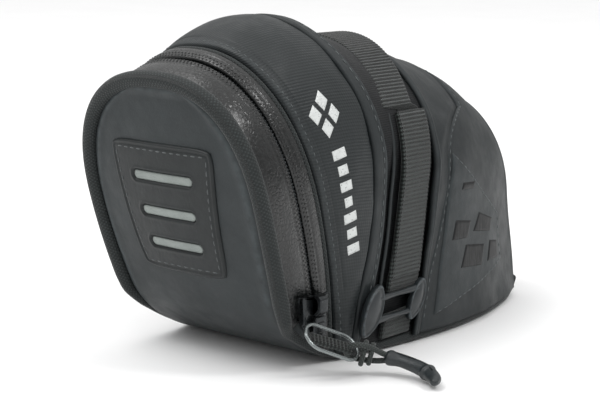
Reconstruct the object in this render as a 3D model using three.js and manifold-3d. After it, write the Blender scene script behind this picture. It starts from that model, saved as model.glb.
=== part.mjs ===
// A wedge-shaped bicycle saddle bag: arched fabric shell, hinged rear lid behind a U-shaped zip,
// strap over the saddle rails, seatpost strap and a cord zip puller.
// Millimetres, +X to the bag's right-hand zip side, +Y forward to the seatpost, +Z up.
// Inside this file Y is counted from where the flat base starts; the part's origin is the middle
// of the flat base, so the whole bag is shifted back by BASE_MIDDLE at the end.
import * as THREE from "three";
import { mergeVertices } from "three/addons/utils/BufferGeometryUtils.js";
import Module from "manifold-3d";

const BASE_MIDDLE = 60;
const GAP = 0.35;
const SHELL = 1.8;
const PIPING_RADIUS = 1.8;
const RIM_RADIUS = 2.6;
const WELT_RADIUS = 1.1;
const HEM_RADIUS = 1.7;
const COIL_RADIUS = 0.75;
const EDGE_HEIGHT = 4.4;
const HINGE = { y: -20.6, z: 14 };
const LID_FOOT = 15;
const ZIP_END_HEIGHT = 24;
const WEBBING_WIDTH = 18;
const WEBBING = 1.3;
const NOSE = 129.5;
const ARCH_STEPS = 20;
const TUBE_SIDES = 6;

// Arch-shaped cross-sections. foot, side: half-widths at the base and at the shoulder; shoulder,
// height: where the rounded top starts and ends; yFoot, yMiddle, yTop: the section's lean;
// round: exponent of the rounded top.
const RIM = { foot: 35.5, side: 40.4, shoulder: 57, height: 101, yFoot: -14.4, yMiddle: -32.6, yTop: -44.4, round: 2.4 };
const WELT = { foot: 37.2, side: 40.4, shoulder: 55, height: 110.6, yFoot: 3.6, yMiddle: -6.5, yTop: -24.8, round: 2.34 };
const BODY = { foot: 39.2, side: 42, shoulder: 62, height: 118.4, yFoot: 7, yMiddle: 11, yTop: -4, round: 2.1 };
const HEM = { foot: 40.6, side: 42.3, shoulder: 68, height: 118, yFoot: 12, yMiddle: 27.4, yTop: 16, round: 1.9 };
const FRONT = { foot: 43.2, side: 42.6, shoulder: 62, height: 107, yFoot: 40, yMiddle: 53, yTop: 57, round: 1.95 };
const MIDDLE = { foot: 42.6, side: 38.5, shoulder: 52, height: 96.5, yFoot: 88, yMiddle: 89, yTop: 88, round: 2.0 };
const TIP = { foot: 26, side: 23, shoulder: 44, height: 79, yFoot: NOSE, yMiddle: NOSE - 2, yTop: 118, round: 2.2 };

const ZIP_LINE = 0.64;
const MATERIALS = {
  coated: { color: 0x42484b, roughness: 0.6, metalness: 0 },
  ripstop: { color: 0x3b4144, roughness: 0.65, metalness: 0 },
  zipTape: { color: 0x2b2f31, roughness: 0.4, metalness: 0 },
  piping: { color: 0x33383a, roughness: 0.6, metalness: 0 },
  webbing: { color: 0x2c302f, roughness: 0.85, metalness: 0 },
  patch: { color: 0x383d3f, roughness: 0.45, metalness: 0 },
  reflective: { color: 0x8c9491, roughness: 0.35, metalness: 0.1 },
  lining: { color: 0x15181a, roughness: 0.9, metalness: 0 },
  board: { color: 0x1c1d1e, roughness: 0.7, metalness: 0 },
  metal: { color: 0x1d2022, roughness: 0.3, metalness: 0.8 },
  wire: { color: 0x3a3e40, roughness: 0.25, metalness: 0.9 },
  plastic: { color: 0x14181a, roughness: 0.35, metalness: 0 },
  cord: { color: 0x262b2a, roughness: 0.9, metalness: 0 },
  grip: { color: 0x3a4040, roughness: 0.45, metalness: 0 },
};

const wasm = await Module();
wasm.setup();

const bag = new THREE.Group();
const model = new THREE.Group();
model.position.y = -BASE_MIDDLE;
bag.add(model);

function place(name, geometry, material) {
  const mesh = new THREE.Mesh(geometry, new THREE.MeshStandardMaterial(MATERIALS[material]));
  mesh.name = name;
  model.add(mesh);
  return mesh;
}

function mix(a, b, t) {
  const section = {};
  for (const key of Object.keys(a)) section[key] = a[key] * (1 - t) + b[key] * t;
  return section;
}

// Runs smoothly through three sections, which sit at t = 0, 0.5 and 1.
function sweep([a, b, c], t) {
  const section = {};
  const weights = [(1 - t) * (1 - 2 * t), 4 * t * (1 - t), t * (2 * t - 1)];
  for (const key of Object.keys(a)) section[key] = weights[0] * a[key] + weights[1] * b[key] + weights[2] * c[key];
  return section;
}

function lean(section, z) {
  const t = z / section.height;
  const rise = -3 * section.yFoot + 4 * section.yMiddle - section.yTop;
  const bend = 2 * section.yFoot - 4 * section.yMiddle + 2 * section.yTop;
  return section.yFoot + rise * t + bend * t * t;
}

function halfWidth(section, z) {
  if (z <= section.shoulder) {
    const grow = Math.sin((Math.PI / 2) * Math.max(z, 0) / section.shoulder);
    return section.foot + (section.side - section.foot) * grow;
  }
  const up = Math.min((z - section.shoulder) / (section.height - section.shoulder), 1);
  return section.side * (1 - up ** section.round) ** (1 / section.round);
}

function shrink(section, inset) {
  return { ...section, foot: section.foot - inset, side: section.side - inset, height: section.height - inset };
}

// The section's outline from its right foot over the top to its left foot, u from 0 to 1.
function archPoint(section, u, foot) {
  const side = u <= 0.5 ? 1 : -1;
  const climb = u <= 0.5 ? 2 * u : 2 - 2 * u;
  const straight = 0.45;
  let x;
  let z;
  if (climb <= straight) {
    z = foot + (section.shoulder - foot) * (climb / straight);
    x = halfWidth(section, z);
  } else {
    const angle = (Math.PI / 2) * ((climb - straight) / (1 - straight));
    const power = 2 / section.round;
    x = section.side * Math.max(Math.cos(angle), 0) ** power;
    z = section.shoulder + (section.height - section.shoulder) * Math.sin(angle) ** power;
  }
  return new THREE.Vector3(side * x, lean(section, z), z);
}

function archLine(section, foot, steps = ARCH_STEPS) {
  return Array.from({ length: steps + 1 }, (_, i) => archPoint(section, i / steps, foot));
}

// A closed solid between two matching grids of points, outer[row][column] and inner[row][column].
function slab(outer, inner) {
  const rows = outer.length;
  const columns = outer[0].length;
  const points = [...outer.flat(), ...inner.flat()];
  const at = (layer, row, column) => layer * rows * columns + row * columns + column;
  const index = [];
  const quad = (a, b, c, d) => index.push(a, b, c, a, c, d);
  for (let i = 0; i < rows - 1; i++) {
    for (let j = 0; j < columns - 1; j++) {
      quad(at(0, i, j), at(0, i, j + 1), at(0, i + 1, j + 1), at(0, i + 1, j));
      quad(at(1, i, j), at(1, i + 1, j), at(1, i + 1, j + 1), at(1, i, j + 1));
    }
    quad(at(0, i, 0), at(0, i + 1, 0), at(1, i + 1, 0), at(1, i, 0));
    const last = columns - 1;
    quad(at(0, i, last), at(1, i, last), at(1, i + 1, last), at(0, i + 1, last));
  }
  for (let j = 0; j < columns - 1; j++) {
    const last = rows - 1;
    quad(at(0, 0, j), at(1, 0, j), at(1, 0, j + 1), at(0, 0, j + 1));
    quad(at(0, last, j), at(0, last, j + 1), at(1, last, j + 1), at(1, last, j));
  }
  return solid(points, index);
}

function solid(points, index) {
  let volume = 0;
  for (let i = 0; i < index.length; i += 3) {
    const [a, b, c] = [points[index[i]], points[index[i + 1]], points[index[i + 2]]];
    volume += a.dot(new THREE.Vector3().crossVectors(b, c));
  }
  if (volume < 0) index.reverse();
  const geometry = new THREE.BufferGeometry();
  geometry.setAttribute("position", new THREE.Float32BufferAttribute(points.flatMap((p) => p.toArray()), 3));
  geometry.setIndex(index);
  return geometry;
}

// An arched skin between two places of a sweep. margins are the gaps, in millimetres along Y, that
// it leaves at its two ends for the trim that runs there.
function archShell(sections, from, to, foot, margins, { inset = 0, thickness = SHELL, rows = 4 } = {}) {
  const outer = [];
  const inner = [];
  for (let i = 0; i <= rows; i++) {
    const share = i / rows;
    const section = shrink(sweep(sections, from + (to - from) * share), inset);
    const shift = margins[0] * (1 - share) - margins[1] * share;
    for (const key of ["yFoot", "yMiddle", "yTop"]) section[key] += shift;
    const low = typeof foot === "function" ? foot(from + (to - from) * share) : foot;
    outer.push(archLine(section, low));
    inner.push(archLine(shrink(section, thickness), low));
  }
  return slab(outer, inner);
}

function tube(points, radius, steps, sides = TUBE_SIDES) {
  const curve = new THREE.CatmullRomCurve3(points);
  const circle = new THREE.Shape();
  for (let i = 0; i < sides; i++) {
    const angle = (2 * Math.PI * i) / sides;
    const [x, y] = [radius * Math.cos(angle), radius * Math.sin(angle)];
    if (i === 0) circle.moveTo(x, y);
    else circle.lineTo(x, y);
  }
  return new THREE.ExtrudeGeometry(circle, { steps, bevelEnabled: false, extrudePath: curve });
}

function archTube(section, inset, foot, radius) {
  return tube(archLine(shrink(section, inset), foot, 24), radius, 30);
}

function manifoldOf(geometry) {
  const bare = geometry.clone();
  bare.deleteAttribute("normal");
  bare.deleteAttribute("uv");
  const merged = mergeVertices(bare, 1e-4);
  const vertProperties = new Float32Array(merged.attributes.position.array);
  const triVerts = new Uint32Array(merged.index.array);
  return new wasm.Manifold(new wasm.Mesh({ numProp: 3, vertProperties, triVerts }));
}

function join(geometries) {
  const whole = geometries.map(manifoldOf).reduce((a, b) => a.add(b)).getMesh();
  const geometry = new THREE.BufferGeometry();
  geometry.setAttribute("position", new THREE.BufferAttribute(whole.vertProperties, 3));
  geometry.setIndex(new THREE.BufferAttribute(whole.triVerts, 1));
  return geometry;
}

// ---- base strip: flat base, rounded up at the rear to the lid's fold and at the nose ----
const NOSE_ROUND = 8;
const NOSE_PIPING_FOOT = 9;
function baseEdge(y) {
  if (y <= 0) return WELT.foot;
  const t = Math.min(y / NOSE, 1);
  const rear = WELT.foot;
  const swell = 4 * (43.6 - (rear + TIP.foot) / 2);
  return rear + (TIP.foot - rear) * t + swell * t * (1 - t) * (0.72 + 0.56 * t);
}

const BASE_CURL = { y: -3, z: 1.8, end: 8 };
function baseProfile() {
  const fold = new THREE.Vector2(HINGE.y + 1.2, HINGE.z - 1.2);
  const flatStart = new THREE.Vector2(BASE_CURL.end, 0);
  const rear = new THREE.QuadraticBezierCurve(fold, new THREE.Vector2(BASE_CURL.y, BASE_CURL.z), flatStart);
  const flat = new THREE.LineCurve(flatStart, new THREE.Vector2(NOSE - NOSE_ROUND - 4, 0));
  return [...rear.getPoints(8), ...flat.getPoints(10).slice(1)];
}

// Height of the base's underside at a place along it.
function baseHeight(y) {
  const profile = baseProfile();
  const next = profile.findIndex((p) => p.x >= y);
  if (next <= 0) return next === 0 ? profile[0].y : 0;
  const [a, b] = [profile[next - 1], profile[next]];
  return a.y + ((b.y - a.y) * (y - a.x)) / (b.x - a.x);
}

function strip(profile, raise, thickness, inset) {
  const columns = [-1, -0.5, 0, 0.5, 1];
  const sheet = (lift) => profile.map((p, i) => {
    const before = profile[Math.max(i - 1, 0)];
    const after = profile[Math.min(i + 1, profile.length - 1)];
    const along = after.clone().sub(before).normalize();
    const half = baseEdge(p.x) - inset;
    return columns.map((c) => new THREE.Vector3(c * half, p.x - along.y * lift, p.y + along.x * lift));
  });
  return slab(sheet(raise), sheet(raise + thickness));
}

function buildBase() {
  const profile = baseProfile();
  const inset = 2 * PIPING_RADIUS + 2 * GAP;
  place("base_panel", strip(profile, 0, 2.4, inset), "coated");
  const board = profile.slice(9);
  place("base_stiffener", strip(board, 2.4 + GAP, 1.5, inset + 3), "board");
  const corner = [[NOSE - 1.4, 2.3], [NOSE + 1.1, 5.4]];
  for (const side of [1, -1]) {
    const low = profile.slice(1).map((p) => {
      const y = p.x + (p.x < 0 ? 1.2 : 0);
      return new THREE.Vector3(side * (baseEdge(p.x) - PIPING_RADIUS), y, p.y + PIPING_RADIUS + 2 * GAP);
    });
    const high = corner.map(([y, z]) => new THREE.Vector3(side * (TIP.foot - PIPING_RADIUS), y, z));
    const name = side > 0 ? "right_base_piping" : "left_base_piping";
    place(name, tube([...low, ...high], PIPING_RADIUS, 30), "piping");
  }
}

// ---- upright panels: the lid's face and the seatpost face ----
function panelGrid(section, inset, foot, dome, shift, rows = 12) {
  const columns = [-1, -0.75, -0.5, -0.25, 0, 0.25, 0.5, 0.75, 1];
  const line = archLine(shrink(section, inset), foot, 2 * rows).slice(0, rows);
  return line.map((edge) => columns.map((c) => {
    const bulge = dome * (1 - c * c) * Math.sin(Math.PI * Math.min((edge.z - foot + 6) / (section.height - foot), 1));
    return new THREE.Vector3(c * edge.x, edge.y + shift - bulge, edge.z);
  }));
}

function panel(section, inset, foot, dome, shift, thickness) {
  return slab(panelGrid(section, inset, foot, dome, shift), panelGrid(section, inset, foot, dome, shift + thickness));
}

// ---- lid ----
const LID_DOME = 4;
const OUTER_ZIP = [RIM, mix(RIM, WELT, 0.5), WELT];
const COIL_STEP = 1.3;
function lidFoot(t) {
  return LID_FOOT + (ZIP_END_HEIGHT - LID_FOOT) * Math.min(t / ZIP_LINE, 1);
}

function facePoint(x, z, raise) {
  const edge = shrink(RIM, RIM_RADIUS + GAP);
  const c = x / halfWidth(edge, z);
  const bulge = LID_DOME * (1 - c * c) * Math.sin(Math.PI * Math.min((z - LID_FOOT + 6) / (RIM.height - LID_FOOT), 1));
  return new THREE.Vector3(x, lean(edge, z) - bulge - raise, z);
}

function facePlate(low, high, halfLow, halfHigh, raise, thickness, rows, columns) {
  const sheet = (lift) => Array.from({ length: rows + 1 }, (_, i) => {
    const t = i / rows;
    const half = halfLow + (halfHigh - halfLow) * t;
    const z = low + (high - low) * t;
    return Array.from({ length: columns + 1 }, (_, j) => facePoint(half * (2 * j / columns - 1), z, lift));
  });
  return slab(sheet(raise + thickness), sheet(raise));
}

function zipCoil(shift) {
  const section = shrink(sweep(OUTER_ZIP, ZIP_LINE), 1.1);
  for (const key of ["yFoot", "yMiddle", "yTop"]) section[key] += shift;
  return archTube(section, 0, ZIP_END_HEIGHT + 3, COIL_RADIUS);
}

function buildLid() {
  const inset = RIM_RADIUS + GAP;
  place("rear_panel", panel(RIM, inset, LID_FOOT, LID_DOME, 0, 2.2), "coated");
  place("rear_stiffener", panel(RIM, inset + 4, LID_FOOT + 4, LID_DOME, 2.2 + 4 * GAP, 1.2), "board");
  place("rim_binding", archTube(RIM, 0, LID_FOOT + RIM_RADIUS + 1.4, RIM_RADIUS), "piping");
  const margins = [RIM_RADIUS + GAP, COIL_STEP + COIL_RADIUS + GAP];
  place("lid_zip_tape", archShell(OUTER_ZIP, 0, ZIP_LINE, lidFoot, margins, { rows: 2 }), "zipTape");
  place("lid_zip_coil", zipCoil(-COIL_STEP), "zipTape");
  const patch = { raise: 0.5, thickness: 0.9 };
  place("reflector_patch", facePlate(34.8, 76.2, 16.9, 19.9, patch.raise, patch.thickness, 8, 8), "patch");
  const bars = { top: [67.3, 13.8], middle: [54.8, 12.5], bottom: [43.2, 12.1] };
  for (const [name, [height, half]] of Object.entries(bars)) {
    const raise = patch.raise + patch.thickness + GAP;
    place(`reflective_bar_${name}`, facePlate(height - 1.5, height + 1.5, half, half, raise, 0.4, 2, 8), "reflective");
  }
}

// ---- body shells ----
const MAIN = [WELT, BODY, HEM];
const NOSE_SWEEP = [FRONT, MIDDLE, TIP];
function buildShells() {
  const zipMargins = [COIL_STEP + COIL_RADIUS + GAP, WELT_RADIUS + GAP];
  place("body_zip_tape", archShell(OUTER_ZIP, ZIP_LINE, 1, bodyFoot, zipMargins, { rows: 2 }), "zipTape");
  place("body_zip_coil", zipCoil(COIL_STEP), "zipTape");
  place("body_welt", archTube(WELT, WELT_RADIUS + 0.2, EDGE_HEIGHT + 2.2, WELT_RADIUS), "piping");
  const bandMargins = [WELT_RADIUS + GAP, HEM_RADIUS + 2 * GAP];
  const bandFoot = (t) => EDGE_HEIGHT + 2 * baseHeight(lean(sweep(MAIN, t), EDGE_HEIGHT));
  place("body_band", archShell(MAIN, 0, 1, bandFoot, bandMargins, { rows: 6 }), "ripstop");
  place("hem_binding", archTube(HEM, 0.9, EDGE_HEIGHT + 2, HEM_RADIUS), "coated");
  const recess = [HEM, mix(HEM, FRONT, 0.5), FRONT];
  const sunk = { inset: 4, thickness: 1.2, rows: 2 };
  place("recess_panel", archShell(recess, 0, 1, EDGE_HEIGHT, [HEM_RADIUS + 2 * GAP, GAP], sunk), "lining");
  place("middle_shell", archShell(NOSE_SWEEP, 0, 0.4, EDGE_HEIGHT, [GAP, GAP], { rows: 3 }), "coated");
  place("nose_shell", archShell(NOSE_SWEEP, 0.4, 1, EDGE_HEIGHT, [GAP, PIPING_RADIUS + 2 * GAP], { rows: 4 }), "coated");
  place("front_piping", archTube(TIP, PIPING_RADIUS + GAP, NOSE_PIPING_FOOT, PIPING_RADIUS), "piping");
  place("front_panel", panel(TIP, 2 * PIPING_RADIUS + 2 * GAP, EDGE_HEIGHT, -1.5, -1.5, 2.2), "coated");
}

// The body side of the zip band reaches down to the base piping, which curls up towards the rear.
function bodyFoot(t) {
  const section = sweep(OUTER_ZIP, t);
  return EDGE_HEIGHT + 2.6 * (1 - t) / (1 - ZIP_LINE) + baseHeight(lean(section, EDGE_HEIGHT)) + 3 * GAP;
}

function buildZipEnds() {
  const rows = [0.2, 0.4, 0.6, 0.7];
  for (const side of [1, -1]) {
    const sheet = (inset) => rows.map((t) => {
      const section = shrink(sweep(OUTER_ZIP, t), inset);
      const top = lidFoot(t) - 5 * GAP;
      const curl = baseHeight(lean(section, LID_FOOT)) - baseHeight(HINGE.y) * (1 - t / ZIP_LINE);
      const low = EDGE_HEIGHT + 3.9 + 7.6 * (1 - t / ZIP_LINE) + curl;
      const clear = Math.min(low, top - 1.5);
      return [clear, (clear + top) / 2, top].map((z) => new THREE.Vector3(side * halfWidth(section, z), lean(section, z), z));
    });
    place(side > 0 ? "right_zip_end" : "left_zip_end", slab(sheet(0.2), sheet(SHELL)), "coated");
  }
}

// ---- saddle strap, its tails, loops and anchors ----
const STRAP = { foot: 41.6, side: 42.4, shoulder: 62, height: 111.2, yFoot: 30, yMiddle: 39.5, yTop: 47, round: 1.92 };
const STRAP_FOOT = 24;
const TAIL_FOOT = 26.3;
const TAIL_TOP = 85;
function strapSheet(line, width) {
  return line.map((p) => [-0.5, 0, 0.5].map((c) => new THREE.Vector3(p.x, p.y + width * c, p.z)));
}

function buildStrap() {
  const over = (inset) => strapSheet(archLine(shrink(STRAP, inset), STRAP_FOOT, 28), WEBBING_WIDTH);
  place("saddle_strap", slab(over(0), over(WEBBING)), "webbing");
  for (const side of [1, -1]) {
    const word = side > 0 ? "right" : "left";
    const column = (raise, low, high, count) => Array.from({ length: count + 1 }, (_, i) => {
      const z = low + ((high - low) * i) / count;
      return new THREE.Vector3(side * (halfWidth(STRAP, z) + raise), lean(STRAP, z), z);
    });
    const tail = (raise) => strapSheet(column(raise, TAIL_FOOT, TAIL_TOP, 8), WEBBING_WIDTH);
    place(`${word}_strap_tail`, slab(tail(GAP + WEBBING), tail(GAP)), "webbing");
    const anchor = (raise) => strapSheet(column(raise, EDGE_HEIGHT + 0.4, BUCKLE.low + 1, 3), WEBBING_WIDTH - 2);
    place(`${word}_anchor_webbing`, slab(anchor(0.4), anchor(-0.9)), "webbing");
    place(`${word}_strap_buckle`, buckle(side), "plastic");
  }
}

// A moulded slot buckle: two leaf-shaped cheeks joined by two bars that the webbing wraps.
const BUCKLE = { low: 13.2, high: 21.2, bar: 1.1, x: 44.4, rear: 21.2, front: 43.4, cheek: 1.8, width: 7.6, height: 16 };
function buckle(side) {
  const leaf = new THREE.Shape();
  const [w, h] = [BUCKLE.width / 2, BUCKLE.height / 2];
  leaf.moveTo(0, -h);
  leaf.bezierCurveTo(w * 1.35, -h * 0.6, w * 1.35, h * 0.6, 0, h);
  leaf.bezierCurveTo(-w * 1.35, h * 0.6, -w * 1.35, -h * 0.6, 0, -h);
  const middle = (BUCKLE.low + BUCKLE.high) / 2;
  const cheeks = [BUCKLE.rear, BUCKLE.front - BUCKLE.cheek].map((y) => {
    const cheek = new THREE.ExtrudeGeometry(leaf, { depth: BUCKLE.cheek, bevelEnabled: false, curveSegments: 6 });
    cheek.rotateX(Math.PI / 2);
    cheek.translate(side * (BUCKLE.x + 0.6), y + BUCKLE.cheek, middle);
    return cheek;
  });
  const length = BUCKLE.front - BUCKLE.rear - BUCKLE.cheek;
  const bars = [BUCKLE.low, BUCKLE.high].map((z) => {
    const bar = new THREE.CylinderGeometry(BUCKLE.bar, BUCKLE.bar, length, 8);
    bar.translate(side * BUCKLE.x, (BUCKLE.front + BUCKLE.rear) / 2, z);
    return bar;
  });
  return join([...cheeks, ...bars]);
}

// ---- applied shapes on the nose and the seatpost strap ----
function buildTrim() {
  for (const side of [1, -1]) {
    const sheet = (inset) => [0.46, 0.56, 0.66, 0.76].map((t, i) => {
      const section = shrink(sweep(NOSE_SWEEP, t), inset);
      const [low, high] = [[10, 62], [13, 56], [16, 48], [22, 40]][i];
      return [0, 0.25, 0.5, 0.75, 1].map((c) => {
        const z = low + (high - low) * c;
        return new THREE.Vector3(side * halfWidth(section, z), lean(section, z), z);
      });
    });
    place(side > 0 ? "right_applique" : "left_applique", slab(sheet(-0.8), sheet(-0.3)), "patch");
  }
  const post = (raise) => [34, 54].map((z) => [-14, -7, 0, 7, 14].map((x) => {
    return new THREE.Vector3(x, lean(TIP, z) + 3.2 + 1.5 + raise, z);
  }));
  place("seatpost_strap", slab(post(1.2), post(0)), "webbing");
  const tail = (raise) => [35, 53].map((z) => [-11, -4, 3, 10].map((x) => {
    return new THREE.Vector3(x, lean(TIP, z) + 3.2 + 1.5 + raise, z);
  }));
  place("seatpost_strap_tail", slab(tail(2.9), tail(1.6)), "webbing");
}

// ---- zip slider, pull tab, ring and cord puller ----
const SLIDER = { x: 39.4, y: -11.2, z: 21, depth: 3.2, width: 12, height: 14 };
const TAB = { x: 44.2, top: 20.6, length: 6.7, width: 5.2, thickness: 1.4 };
function boxAt(width, depth, height, x, y, z) {
  const geometry = new THREE.BoxGeometry(width, depth, height);
  geometry.translate(x, y, z);
  return geometry;
}

function buildSlider() {
  const body = new THREE.Shape();
  const [w, h] = [SLIDER.width / 2, SLIDER.height / 2];
  body.moveTo(-w, h);
  body.lineTo(-w, h * 0.2);
  body.quadraticCurveTo(-w * 0.9, -h * 0.6, -w * 0.45, -h);
  body.lineTo(w * 0.45, -h);
  body.quadraticCurveTo(w * 0.9, -h * 0.6, w, h * 0.2);
  body.lineTo(w, h);
  const geometry = new THREE.ExtrudeGeometry(body, { depth: SLIDER.depth, bevelEnabled: false, curveSegments: 5 });
  geometry.rotateX(Math.PI / 2);
  geometry.rotateZ(Math.PI / 2);
  geometry.translate(SLIDER.x, SLIDER.y, SLIDER.z);
  place("zip_slider", geometry, "metal");
  const crown = new THREE.Shape();
  crown.moveTo(0, -3.4);
  crown.lineTo(1.4, -3.4);
  crown.lineTo(3.6, -1.8);
  crown.lineTo(3.6, 3);
  crown.lineTo(0, 3.8);
  const bridge = new THREE.ExtrudeGeometry(crown, { depth: 4, bevelEnabled: false });
  bridge.rotateX(Math.PI / 2);
  bridge.translate(SLIDER.x + SLIDER.depth + GAP, SLIDER.y + 2, SLIDER.z + 3.4);
  place("slider_crown", bridge, "metal");
  const tabMiddle = TAB.top - TAB.length / 2;
  place("pull_tab", boxAt(TAB.thickness, TAB.width, TAB.length, TAB.x, SLIDER.y, tabMiddle), "metal");
}

function roundedOutline(target, width, height) {
  const r = height / 2;
  target.moveTo(-width / 2 + r, -r);
  target.lineTo(width / 2 - r, -r);
  target.absarc(width / 2 - r, 0, r, -Math.PI / 2, Math.PI / 2);
  target.lineTo(-width / 2 + r, r);
  target.absarc(-width / 2 + r, 0, r, Math.PI / 2, (3 * Math.PI) / 2);
  return target;
}

const RING = { length: 23, width: 12, wire: 1.5 };
const RING_TILT = Math.PI * 0.22;
const RING_START = new THREE.Vector3(48.1, -19.6, 16.7);
const RING_END = new THREE.Vector3(53.7, -5.9, 10);
const CORD_RADIUS = 1;
function buildRing() {
  const outline = roundedOutline(new THREE.Shape(), RING.length, RING.width);
  outline.holes.push(roundedOutline(new THREE.Path(), RING.length - 2 * RING.wire, RING.width - 2 * RING.wire));
  const ring = new THREE.ExtrudeGeometry(outline, { depth: RING.wire, bevelEnabled: false, curveSegments: 7 });
  ring.translate(0, 0, -RING.wire / 2);
  const mesh = place("wire_ring", ring, "wire");
  const along = RING_END.clone().sub(RING_START).normalize();
  const across = new THREE.Vector3(0, 0, 1).cross(along).normalize();
  across.applyAxisAngle(along, RING_TILT);
  const up = along.clone().cross(across);
  mesh.setRotationFromMatrix(new THREE.Matrix4().makeBasis(along, across, up));
  mesh.position.copy(RING_START.clone().add(RING_END).multiplyScalar(0.5));
}

const CORD_ROUTE = [[61.2, 4.9, 5.3], [58.7, 3.2, 4.9], [56.2, 1.5, 4.9], [54, -0.6, 5.3], [52, -4.1, 6.5],
  [51.9, -6.2, 8.3], [53.3, -6.9, 10.5], [55.5, -5.9, 11.8], [57.2, -3.7, 11.5], [58.4, -0.9, 10.3],
  [59.4, 1.2, 9], [60.4, 2.6, 8], [61.4, 3.6, 7.4]];
const GRIP_ROUTE = [[62.1, 4.7, 6.3], [66.5, 6.2, 5.5], [72, 7, 4.5], [77.5, 6, 3.6], [81.8, 3.4, 3.1],
  [84.3, 0.2, 2.95]];
function buildPuller() {
  const points = (route) => route.map((p) => new THREE.Vector3(...p));
  place("puller_cord", tube(points(CORD_ROUTE), CORD_RADIUS, 30, 8), "cord");
  place("puller_grip", tube(points(GRIP_ROUTE), 2.9, 8, 10), "grip");
}

buildBase();
buildLid();
buildShells();
buildZipEnds();
buildStrap();
buildTrim();
buildSlider();
buildRing();
buildPuller();

export default bag;
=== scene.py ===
import math

import bpy
import numpy as np
from bpy.props import FloatProperty, FloatVectorProperty, PointerProperty
from bpy.types import Operator, Panel, PropertyGroup
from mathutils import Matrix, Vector
from mathutils.bvhtree import BVHTree


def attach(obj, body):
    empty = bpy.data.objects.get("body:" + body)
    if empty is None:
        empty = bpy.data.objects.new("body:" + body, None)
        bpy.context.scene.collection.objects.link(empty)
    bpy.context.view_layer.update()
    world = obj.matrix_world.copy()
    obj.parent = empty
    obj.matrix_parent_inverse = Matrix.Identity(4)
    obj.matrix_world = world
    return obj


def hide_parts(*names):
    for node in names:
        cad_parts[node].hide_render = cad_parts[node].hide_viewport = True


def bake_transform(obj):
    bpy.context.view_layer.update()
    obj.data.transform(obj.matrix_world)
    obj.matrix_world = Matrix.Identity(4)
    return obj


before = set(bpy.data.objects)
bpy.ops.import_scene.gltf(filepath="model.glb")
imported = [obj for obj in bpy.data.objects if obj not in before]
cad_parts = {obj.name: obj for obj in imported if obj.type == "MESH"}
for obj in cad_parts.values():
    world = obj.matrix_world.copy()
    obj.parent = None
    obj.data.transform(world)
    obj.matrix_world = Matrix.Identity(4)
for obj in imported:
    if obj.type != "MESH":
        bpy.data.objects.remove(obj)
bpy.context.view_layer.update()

bl_info = {
    "name": "Saddle Bag",
    "version": (1, 0, 0),
    "blender": (4, 5, 0),
    "location": "3D View > Sidebar > Saddle Bag",
    "description": "Builds a wedge-shaped bicycle saddle bag around its packed frame",
    "category": "Object",
}

# Sizes are in millimetres. Y is counted from the rear end of the flat base, and BASE_MIDDLE is
# where the part's origin lies on it.
MM = 0.001
BASE_MIDDLE = 60.0

# Arch-shaped cross-sections of the bag, as arrays so that they can be added and scaled: half-width
# at the base and at the shoulder, height of the shoulder and of the top, the section's Y at its
# foot, its middle and its top, and the exponent of the rounded top.
FOOT, SIDE, SHOULDER, HEIGHT, Y_FOOT, Y_MIDDLE, Y_TOP, ROUND = range(8)
RIM = np.array([35.5, 40.4, 57, 101.0, -14.4, -32.6, -44.4, 2.4])
WELT = np.array([37.2, 40.4, 55, 110.6, 3.6, -6.5, -24.8, 2.34])
BODY = np.array([39.2, 42.0, 62, 118.4, 7, 11, -4, 2.1])
HEM = np.array([40.6, 42.3, 68, 118.0, 12, 27.4, 16, 1.9])
FRONT = np.array([43.2, 42.6, 62, 105.5, 40, 53, 57, 1.95])
MIDDLE = np.array([42.6, 38.5, 52, 95.5, 88, 89, 88, 2.0])
TIP = np.array([28.2, 25.2, 44, 79.0, 129.5, 127.5, 118, 2.2])
STRAP = np.array([41.6, 42.4, 62, 110.2, 30, 39.5, 47, 1.92])
ZIP_BAND = (RIM, (RIM + WELT) / 2, WELT)
BODY_BAND = (WELT, BODY, HEM)
RECESS_BAND = (HEM, (HEM + FRONT) / 2, FRONT)
NOSE_BAND = (FRONT, MIDDLE, TIP)
ZIP_LINE = 0.64
NOSE_Y = 129.5
EDGE_HEIGHT = 4.2
PIPING = 1.8
BINDING = 2.9
HINGE_Y, HINGE_Z = -20.6, 14.0
# The base is flat in front of FLAT_END; behind it curls up to the hinge, pulled towards CURL.
FLAT_END, CURL = 8.0, (-3.0, 1.8)
BASE_FRONT = NOSE_Y - 12
BASE_WIDEST = 43.6
FLAT_ROWS = 60
LID_FOOT, ZIP_END = 15.0, 24.0
LID_DOME = 4.0


# ---------------------------------------------------------------- user properties
class SaddleBagSizes(PropertyGroup):
    """Sizes a user may change"""

    skin: FloatProperty(name="Skin", description="Thickness of a fabric panel", default=0.0014,
                        subtype="DISTANCE", unit="LENGTH")
    stitch: FloatProperty(name="Stitch", description="Length of one stitch", default=0.0021,
                          subtype="DISTANCE", unit="LENGTH")
    stitch_gap: FloatProperty(name="Stitch gap", description="Gap between two stitches",
                              default=0.0010, subtype="DISTANCE", unit="LENGTH")
    rib: FloatProperty(name="Webbing rib", description="Distance between two ribs of the webbing",
                       default=0.00145, subtype="DISTANCE", unit="LENGTH")
    coil: FloatProperty(name="Coil pitch", description="Distance between two teeth of the zip coil",
                        default=0.0016, subtype="DISTANCE", unit="LENGTH")
    webbing: FloatProperty(name="Webbing width", description="Width of the strap webbing",
                           default=0.018, subtype="DISTANCE", unit="LENGTH")


def colour_property(name, description, default):
    """A colour that a user may change."""
    return FloatVectorProperty(name=name, description=description, subtype="COLOR", size=3,
                               min=0.0, max=1.0, default=default)


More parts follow.
